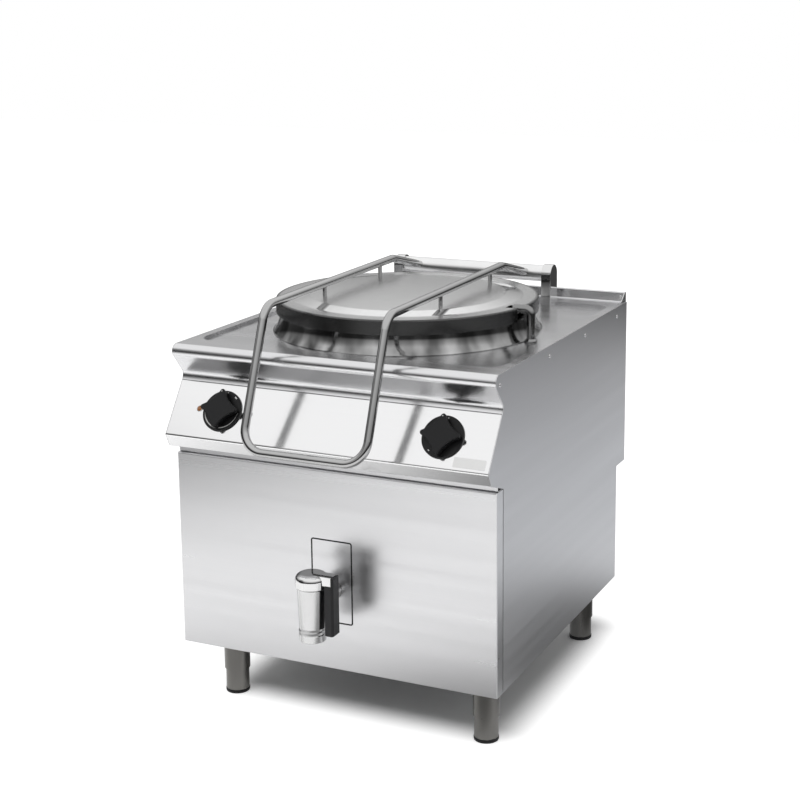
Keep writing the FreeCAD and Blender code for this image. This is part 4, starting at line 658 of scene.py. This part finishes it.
def knob(name, x, body, material):
    """Knob with soft upper edges and a dished top, and the printed dot on its upper lobe."""
    sizes = settings("sizes")
    shape = bmesh.new()
    top = raised(shape, [knob_outline(shape, sizes)], sizes.knob_height)[0]
    bmesh.ops.scale(shape, vec=(sizes.knob_draft, sizes.knob_draft, 1.0),
                    verts=[vert for vert in shape.verts if vert.co.z < sizes.knob_edge])
    edge = bmesh.ops.bevel(shape, geom=list(top.edges), offset=sizes.knob_edge, segments=5, profile=0.5,
                           affect="EDGES", material=-1)
    top = max(shape.faces, key=lambda face: (face.calc_center_median().z, face.calc_area()))
    bmesh.ops.inset_individual(shape, faces=[top], thickness=0.0004)
    bmesh.ops.inset_individual(shape, faces=[top], thickness=0.0012, depth=-0.0003)
    bmesh.ops.inset_individual(shape, faces=[top], thickness=0.0004)
    if not edge["faces"]:
        raise RuntimeError("the edge of " + name + " was not rounded")
    place = on_fascia(x, sizes.knob_lift)
    bmesh.ops.transform(shape, matrix=place, verts=shape.verts)
    piece = new_piece(name.capitalize(), shape, material, body)
    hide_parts(name)
    spot = bmesh.new()
    bmesh.ops.create_circle(spot, cap_ends=True, segments=24, radius=sizes.dot_radius)
    raised(spot, list(spot.faces), sizes.mark_height)
    centre = around(sizes.knob_turn + 0.03, sizes.lobe_radius - 0.0058)
    bmesh.ops.translate(spot, vec=centre + Vector((0.0, 0.0, sizes.knob_height - 0.0001)), verts=spot.verts)
    bmesh.ops.transform(spot, matrix=place, verts=spot.verts)
    new_piece(name.capitalize() + "_dot", spot, paint(), body, smooth=False)


def paint():
    """Printing ink of the marks, slightly worn."""
    if "Printed marks" in bpy.data.materials:
        return bpy.data.materials["Printed marks"]
    return moulded("Printed marks", settings("colours").mark, 0.5, 0.000005, 2500.0)


class KETTLE_OT_knobs(bpy.types.Operator):
    """The two lobed knobs, their dots, the dials and the igniter"""
    bl_idname = "kettle.knobs"
    bl_label = "Knobs"

    def execute(self, context):
        colours = settings("colours")
        black = moulded("Black knob", colours.plastic, 0.42)
        knob("knob_left", LEFT_KNOB_X, "gas_knob", black)
        knob("knob_right", RIGHT_KNOB_X, "water_knob", black)
        dress(black, "igniter_button", "igniter_body")
        dress(moulded("Black dial", scaled(colours.plastic, 0.8), 0.38, 0.00001), "dials")
        return {"FINISHED"}


class KETTLE_OT_marks(bpy.types.Operator):
    """Printed marks of the dials: a dot and a block each, and the growing arc of the flame"""
    bl_idname = "kettle.marks"
    bl_label = "Dial marks"

    def execute(self, context):
        height = settings("sizes").mark_height
        for name, x, angle, radius, size, dot_angle, dot_distance in DIAL_MARKS:
            spot = bmesh.new()
            bmesh.ops.create_circle(spot, cap_ends=True, segments=24, radius=settings("sizes").dot_radius)
            raised(spot, list(spot.faces), height)
            bmesh.ops.translate(spot, vec=around(math.radians(dot_angle), dot_distance), verts=spot.verts)
            bmesh.ops.transform(spot, matrix=on_fascia(x, DIAL_TOP), verts=spot.verts)
            new_piece("Dial_dot_" + name, spot, paint(), "cabinet", smooth=False)
            block = bmesh.new()
            rounded_plate(block, *size, BLOCK_CORNER, height)
            bmesh.ops.translate(block, vec=(radius, 0.0, 0.0), verts=block.verts)
            bmesh.ops.rotate(block, matrix=Matrix.Rotation(math.radians(angle), 3, "Z"), verts=block.verts)
            bmesh.ops.transform(block, matrix=on_fascia(x, DIAL_TOP), verts=block.verts)
            new_piece("Dial_block_" + name, block, paint(), "cabinet", smooth=False)
        arc = bmesh.new()
        edge = arc.edges.new([arc.verts.new((radius, 0.0, 0.0)) for radius in (ARC_INNER, ARC_OUTER)])
        bmesh.ops.rotate(arc, matrix=Matrix.Rotation(math.radians(ARC_START), 3, "Z"), verts=arc.verts)
        bmesh.ops.spin(arc, geom=list(edge.verts) + [edge], axis=(0.0, 0.0, 1.0), cent=(0.0, 0.0, 0.0),
                       angle=math.radians(ARC_SWEEP), steps=64)
        for corner in arc.verts:
            turn = -math.degrees(math.atan2(corner.co.y, corner.co.x))
            share = min(turn / ARC_WIDEST, (ARC_END - turn) / ARC_TAIL, 1.0)
            if corner.co.xy.length < (ARC_INNER + ARC_OUTER) / 2:
                inner = ARC_OUTER - ARC_THIN - ARC_GROWTH * max(share, 0.0)
                corner.co.xy = corner.co.xy.normalized() * inner
        raised(arc, list(arc.faces), height)
        bmesh.ops.transform(arc, matrix=on_fascia(LEFT_KNOB_X, DIAL_TOP), verts=arc.verts)
        new_piece("Dial_arc", arc, paint(), "cabinet", smooth=False)
        return {"FINISHED"}


class KETTLE_OT_lamp(bpy.types.Operator):
    """Amber lens of the lamp and the bright ring round it"""
    bl_idname = "kettle.lamp"
    bl_label = "Indicator lamp"

    def execute(self, context):
        colours = settings("colours")
        lens = finish("Amber lens")
        lens.set(Roughness=0.1, Coat_Weight=0.6)
        cells = lens.noise(700.0, 1.0)
        lens.tint(cells, scaled(colours.amber, 0.8), scaled(colours.amber, 1.25))
        lens.bump(cells, 0.00008)
        dress(lens.owner, "pilot_lamp")
        shape = lathe(bmesh.new(), RING, 48)
        bmesh.ops.transform(shape, matrix=on_fascia(LAMP_X), verts=shape.verts)
        new_piece("Lamp_ring", shape, bpy.data.materials["Bright chrome"], "cabinet")
        return {"FINISHED"}


class KETTLE_OT_label(bpy.types.Operator):
    """Blank plate at the right end of the control panel"""
    bl_idname = "kettle.label"
    bl_label = "Blank plate"

    def execute(self, context):
        sizes = settings("sizes")
        shape = bmesh.new()
        rounded_plate(shape, sizes.label_width, sizes.label_height, PLATE_CORNER, PLATE_THICKNESS)
        bmesh.ops.translate(shape, vec=(0.0, -LABEL_DROP, 0.0), verts=shape.verts)
        bmesh.ops.transform(shape, matrix=on_fascia(LABEL_X), verts=shape.verts)
        foil = polished_metal("White foil", FOIL, 0.34, 0.03, scale=60.0)
        new_piece("Blank_plate", shape, foil, "cabinet", smooth=False)
        return {"FINISHED"}


def screw_head(shape, radius):
    """Pan head with a cross recess, its underside on the XY plane."""
    bmesh.ops.create_grid(shape, x_segments=12, y_segments=12, size=1.0)
    for corner in shape.verts:
        across, up = corner.co.x, corner.co.y
        corner.co.x = across * math.sqrt(1.0 - up * up / 2.0)
        corner.co.y = up * math.sqrt(1.0 - across * across / 2.0)
        corner.co.z = HEAD_DOME * math.sqrt(max(1.0 - corner.co.xy.length_squared ** 2, 0.0))
    arms = [face for face in shape.faces
            if min(abs(value) for value in face.calc_center_median().xy) < RECESS_HALF
            and max(abs(value) for value in face.calc_center_median().xy) < RECESS_REACH]
    raised(shape, arms, -RECESS_DEPTH)
    bmesh.ops.delete(shape, geom=arms, context="FACES_ONLY")
    bmesh.ops.scale(shape, vec=(radius, radius, radius), verts=shape.verts)


class KETTLE_OT_screws(bpy.types.Operator):
    """Pan-head screws with cross recesses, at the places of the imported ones"""
    bl_idname = "kettle.screws"
    bl_label = "Screws"

    def execute(self, context):
        packed = bmesh.new()
        packed.from_mesh(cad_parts["panel_screws"].data)
        bmesh.ops.remove_doubles(packed, verts=packed.verts, dist=1e-5)
        left = set(packed.verts)
        whole = bmesh.new()
        count = 0
        while left:
            group = [left.pop()]
            for corner in group:
                for edge in corner.link_edges:
                    other = edge.other_vert(corner)
                    if other in left:
                        left.remove(other)
                        group.append(other)
            low = Vector([min(corner.co[axis] for corner in group) for axis in range(3)])
            high = Vector([max(corner.co[axis] for corner in group) for axis in range(3)])
            extent = high - low
            axis = max(range(3), key=lambda index: extent[index])
            if extent[axis] < SCREW_LENGTH:
                continue
            middle = (low + high) / 2
            along = Vector([1.0 if index == axis else 0.0 for index in range(3)])
            broad = [corner.co - middle for corner in group
                     if (corner.co - middle).cross(along).length > SHANK_RADIUS]
            outward = 1.0 if sum(point[axis] for point in broad) > 0.0 else -1.0
            normal = along * outward
            place = middle + normal * (extent[axis] / 2 - HEAD_DEPTH)
            shape = bmesh.new()
            screw_head(shape, settings("sizes").screw_radius)
            turn = Matrix.Rotation(0.5 + 0.9 * count, 4, "Z")
            stand = Matrix.Translation(place) @ normal.to_track_quat("Z", "Y").to_matrix().to_4x4() @ turn
            bmesh.ops.transform(shape, matrix=stand, verts=shape.verts)
            joined(whole, shape)
            count += 1
        packed.free()
        if count < 2:
            raise RuntimeError("no screws were found among the packed solids")
        chrome = bpy.data.materials["Bright chrome"]
        piece = new_piece("Cross_head_screws", whole, chrome, "cabinet")
        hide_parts("panel_screws")
        return {"FINISHED"}


def threaded_union(shape, length, sizes):
    """Inlet union along Z: body, hexagon lock nut and a bored stub with its thread."""
    root = sizes.thread_radius - sizes.thread_depth
    rim = length - sizes.thread_depth
    bore = 0.72 * sizes.thread_radius
    nut_foot = length - sizes.thread_length - sizes.lock_nut
    body = nut_foot - GROOVE
    lathe(shape, [(0.0, 0.0), (sizes.nut_radius - CHAMFER, 0.0), (sizes.nut_radius, CHAMFER),
                  (sizes.nut_radius, body - CHAMFER), (sizes.nut_radius - CHAMFER, body), (root, body),
                  (root, rim), (root - 0.8 * sizes.thread_depth, length), (bore, length),
                  (bore, length / 2), (0.0, length / 2)], 64)
    turns = int(sizes.thread_length / sizes.thread_pitch) - 1
    start = length - sizes.thread_length
    crest = [shape.verts.new((radius, 0.0, start + share * sizes.thread_pitch))
             for radius, share in ((root, 0.0), (sizes.thread_radius, 0.45), (sizes.thread_radius, 0.55),
                                   (root, 1.0))]
    flanks = [shape.edges.new(pair) for pair in zip(crest, crest[1:])]
    bmesh.ops.spin(shape, geom=crest + flanks, axis=(0.0, 0.0, 1.0), cent=(0.0, 0.0, 0.0),
                   dvec=(0.0, 0.0, sizes.thread_pitch / THREAD_STEPS), angle=math.tau * turns,
                   steps=THREAD_STEPS * turns)
    nut = bmesh.new()
    bmesh.ops.create_circle(nut, cap_ends=True, segments=6, radius=sizes.nut_radius)
    raised(nut, list(nut.faces), sizes.lock_nut)
    bmesh.ops.bevel(nut, geom=list(nut.edges), offset=CHAMFER, segments=2, profile=0.5, affect="EDGES",
                    material=-1)
    bmesh.ops.translate(nut, vec=(0.0, 0.0, nut_foot), verts=nut.verts)
    joined(shape, nut)


class KETTLE_OT_inlets(bpy.types.Operator):
    """Threaded gas and water unions low on the rear"""
    bl_idname = "kettle.inlets"
    bl_label = "Inlet unions"

    def execute(self, context):
        for node in ("gas_inlet_union", "water_inlet_union"):
            low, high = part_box(node)
            middle = (low + high) / 2
            shape = bmesh.new()
            threaded_union(shape, high.y - low.y, settings("sizes"))
            bmesh.ops.rotate(shape, matrix=Matrix.Rotation(-math.pi / 2, 3, "X"), verts=shape.verts)
            bmesh.ops.translate(shape, vec=(middle.x, low.y, middle.z), verts=shape.verts)
            brass = bpy.data.materials["Brass"]
            piece = new_piece("Threaded_" + node, shape, brass, "cabinet", smooth=False)
            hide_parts(node)
        return {"FINISHED"}


class KETTLE_OT_feet(bpy.types.Operator):
    """Finishes of the feet and the cups under them"""
    bl_idname = "kettle.feet"
    bl_label = "Feet"

    def execute(self, context):
        colours = settings("colours")
        sizes = settings("sizes")
        # Darkened steel of the feet: painted shade.
        tube = brushed_steel("Foot steel in painted shade", colours.tube, 0.3, (400.0, 400.0, 3.0), (60.0, 60.0, 2.0))
        dress(tube, "foot_sleeves", *["foot_stem_" + place for place in PLACES])
        rubber = moulded("Black pad", colours.plastic, 0.5)
        radius = sizes.pad_radius
        height = sizes.pad_height
        for place in PLACES:
            low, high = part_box("foot_pad_" + place)
            floor = high.z
            cup = lathe(bmesh.new(), [(0.0, 0.0), (radius - 0.003, 0.0), (radius - 0.0008, 0.0008),
                                      (radius, 0.0026), (radius, height - 0.0012), (radius - 0.0004, height),
                                      (radius - 0.00075, height), (radius - 0.00075, floor), (0.0, floor)])
            middle = (low + high) / 2
            bmesh.ops.translate(cup, vec=(middle.x, middle.y, 0.0), verts=cup.verts)
            piece = new_piece("Cup_" + place, cup, rubber, "foot_" + place)
            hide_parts("foot_pad_" + place)
        return {"FINISHED"}


def glowing(name, mesh, tone=(1.0, 1.0, 1.0)):
    """Material that glows evenly with a tone, for what only shows in reflections."""
    made = Nodes(bpy.data.materials.new(name), "ShaderNodeEmission")
    made.set(Color=(*tone, 1.0))
    mesh.materials.append(made.owner)
    return made


def reflected_only(name, mesh):
    """Stage object that only shows in reflections."""
    card = placed(name, mesh)
    card.visible_camera = False
    card.visible_diffuse = False
    card.visible_shadow = False
    card.visible_transmission = False


def floor_card(name, centre, reach, tone, lift):
    """Soft-edged patch just over the floor that darkens what the sheets mirror there."""
    shape = bmesh.new()
    bmesh.ops.create_grid(shape, x_segments=1, y_segments=1, size=1.0)
    bmesh.ops.scale(shape, vec=(reach[0], reach[1], 1.0), verts=shape.verts)
    bmesh.ops.translate(shape, vec=(centre[0], centre[1], lift), verts=shape.verts)
    mesh = meshed(name, shape)
    made = glowing(name, mesh, tone)
    radius = made.length((centre[0], centre[1], 0.0), (1.0 / reach[0], 1.0 / reach[1], 0.0))
    cover = made.span(radius, "Value", PATCH_CORE, 1.0, 1.0, 0.0, "SMOOTHSTEP")
    made.mixed(cover, "Result", made.add("ShaderNodeBsdfTransparent"), made.shader)
    reflected_only(name, mesh)


def room(radius):
    """Round wall that only shows in reflections: it glows more the higher it is, less round one dark spot."""
    shape = bmesh.new()
    foot = shape.verts.new((radius, 0.0, 0.0))
    head = shape.verts.new((radius, 0.0, ROOM_HEIGHT))
    side = shape.edges.new((foot, head))
    bmesh.ops.spin(shape, geom=[foot, head, side], axis=(0.0, 0.0, 1.0), cent=(0.0, 0.0, 0.0),
                   angle=math.tau, steps=64, use_merge=True)
    mesh = meshed("Room", shape)
    made = glowing("Room", mesh)
    rise = made.add("ShaderNodeSeparateXYZ")
    made.link(made.mapped(), "Vector", rise, "Vector")
    share = made.span(rise, "Z", 0.0, ROOM_HEIGHT, 0.0, 1.0)
    ramp = made.ramp(share, "Result", [(level / ROOM_HEIGHT, tone) for level, tone in ROOM_TONES])
    made.link(ramp, "Color", made.shader, "Color")
    away = made.length(DARK_SPOT, DARK_WEIGHTS)
    dimmed = made.span(away, "Value", *DARK_REACH, DARK_TONE, 1.0, "SMOOTHSTEP")
    made.link(dimmed, "Result", made.shader, "Strength")
    reflected_only("Room", mesh)


def studio_floor(stage):
    """Pale floor: its glow for the camera and for reflections fades out under the kettle, which paints a
    shadow there over the real one.
    """
    shape = bmesh.new()
    bmesh.ops.create_grid(shape, x_segments=1, y_segments=1, size=FLOOR_HALF)
    mesh = meshed("Floor", shape)
    ground = finish("Studio floor")
    ground.set(Base_Color=GROUND, Roughness=0.9, Specular_IOR_Level=0.1, Emission_Color=WHITE)
    (left, right), (front, rear) = PAINTED_SHADOW_BOX
    centred = ground.mapped(((left + right) / 2, (front + rear) / 2, 0.0))
    size = ground.vector("ABSOLUTE", centred, "Vector")
    beyond = ground.vector("SUBTRACT", size, "Vector", ((right - left) / 2, (rear - front) / 2, 1.0))
    outside = ground.vector("MAXIMUM", beyond, "Vector", (0.0, 0.0, 0.0))
    distance = ground.vector("LENGTH", outside, "Vector")
    # The glow grows from nothing at the rectangle's edge: painted shadow under the kettle.
    glow = ground.span(distance, "Value", 0.0, stage.reach, 0.0, stage.glow, "SMOOTHSTEP")
    strength = ground.maths("MULTIPLY", ground.seen(stage.mirrored), (glow, "Result"))
    ground.link(*strength, ground.shader, "Emission Strength")
    mesh.materials.append(ground.owner)
    placed("Floor", mesh)


class KETTLE_OT_stage(bpy.types.Operator):
    """Camera, floor, lamps and reflected room of the studio"""
    bl_idname = "kettle.stage"
    bl_label = "Studio"

    def execute(self, context):
        stage = settings("stage")
        lens = bpy.data.cameras.new("Camera")
        lens.lens = stage.lens
        lens.sensor_width = 36.0
        lens.shift_x = stage.shift_x
        lens.shift_y = stage.shift_y
        lens.clip_end = 60.0
        camera = placed("Camera", lens)
        turn = Matrix((CAMERA_RIGHT, -CAMERA_DOWN, -CAMERA_AHEAD)).transposed().to_4x4()
        camera.matrix_world = Matrix.Translation(CAMERA_PLACE) @ turn
        context.scene.camera = camera
        studio_floor(stage)

        sky = Nodes(bpy.data.worlds.new("Studio"), "ShaderNodeBackground", "ShaderNodeOutputWorld")
        sky.set(Strength=stage.ambient, Color=WHITE)
        white = sky.add("ShaderNodeBackground")
        white.inputs["Color"].default_value = WHITE
        sky.mixed(*sky.seen(), sky.shader, white)
        context.scene.world = sky.owner
        for name, (place, size), power in (("Key", KEY, stage.key), ("Fill", FILL, stage.fill)):
            light = bpy.data.lights.new(name, "AREA")
            light.energy = power
            light.size = size
            lamp = placed(name, light)
            turn = (AIM - Vector(place)).to_track_quat("-Z", "Y").to_matrix().to_4x4()
            lamp.matrix_world = Matrix.Translation(place) @ turn
            lamp.visible_glossy = False
        room(stage.room)
        for patch in PATCHES:
            floor_card(*patch)
        context.scene.view_settings.view_transform = "Standard"
        return {"FINISHED"}


class KETTLE_PT_panel(bpy.types.Panel):
    """Lists the kettle's steps"""
    bl_idname = "KETTLE_PT_panel"
    bl_label = "Kettle"
    bl_space_type = "VIEW_3D"
    bl_region_type = "UI"
    bl_category = "Kettle"

    def draw(self, context):
        for step in STEPS:
            self.layout.operator(step.bl_idname)


STEPS = (KETTLE_OT_stage, KETTLE_OT_sheets, KETTLE_OT_vessel, KETTLE_OT_lid, KETTLE_OT_tap,
         KETTLE_OT_knobs, KETTLE_OT_marks, KETTLE_OT_lamp, KETTLE_OT_label, KETTLE_OT_screws,
         KETTLE_OT_inlets, KETTLE_OT_feet)
GROUPS = {"sizes": KettleSizes, "colours": KettleColours, "stage": KettleStage}


def register():
    """Adds the properties, the steps and the panel."""
    for name, group in GROUPS.items():
        bpy.utils.register_class(group)
        setattr(bpy.types.Scene, "kettle_" + name, PointerProperty(type=group))
    for step in STEPS:
        bpy.utils.register_class(step)
    bpy.utils.register_class(KETTLE_PT_panel)


def unregister():
    """Takes everything off again."""
    bpy.utils.unregister_class(KETTLE_PT_panel)
    for step in reversed(STEPS):
        bpy.utils.unregister_class(step)
    for name, group in GROUPS.items():
        delattr(bpy.types.Scene, "kettle_" + name)
        bpy.utils.unregister_class(group)


def main():
    """Runs every step."""
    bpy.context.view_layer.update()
    register()
    for step in STEPS:
        group, name = step.bl_idname.split(".")
        getattr(getattr(bpy.ops, group), name)()


if __name__ == "__main__":
    main()
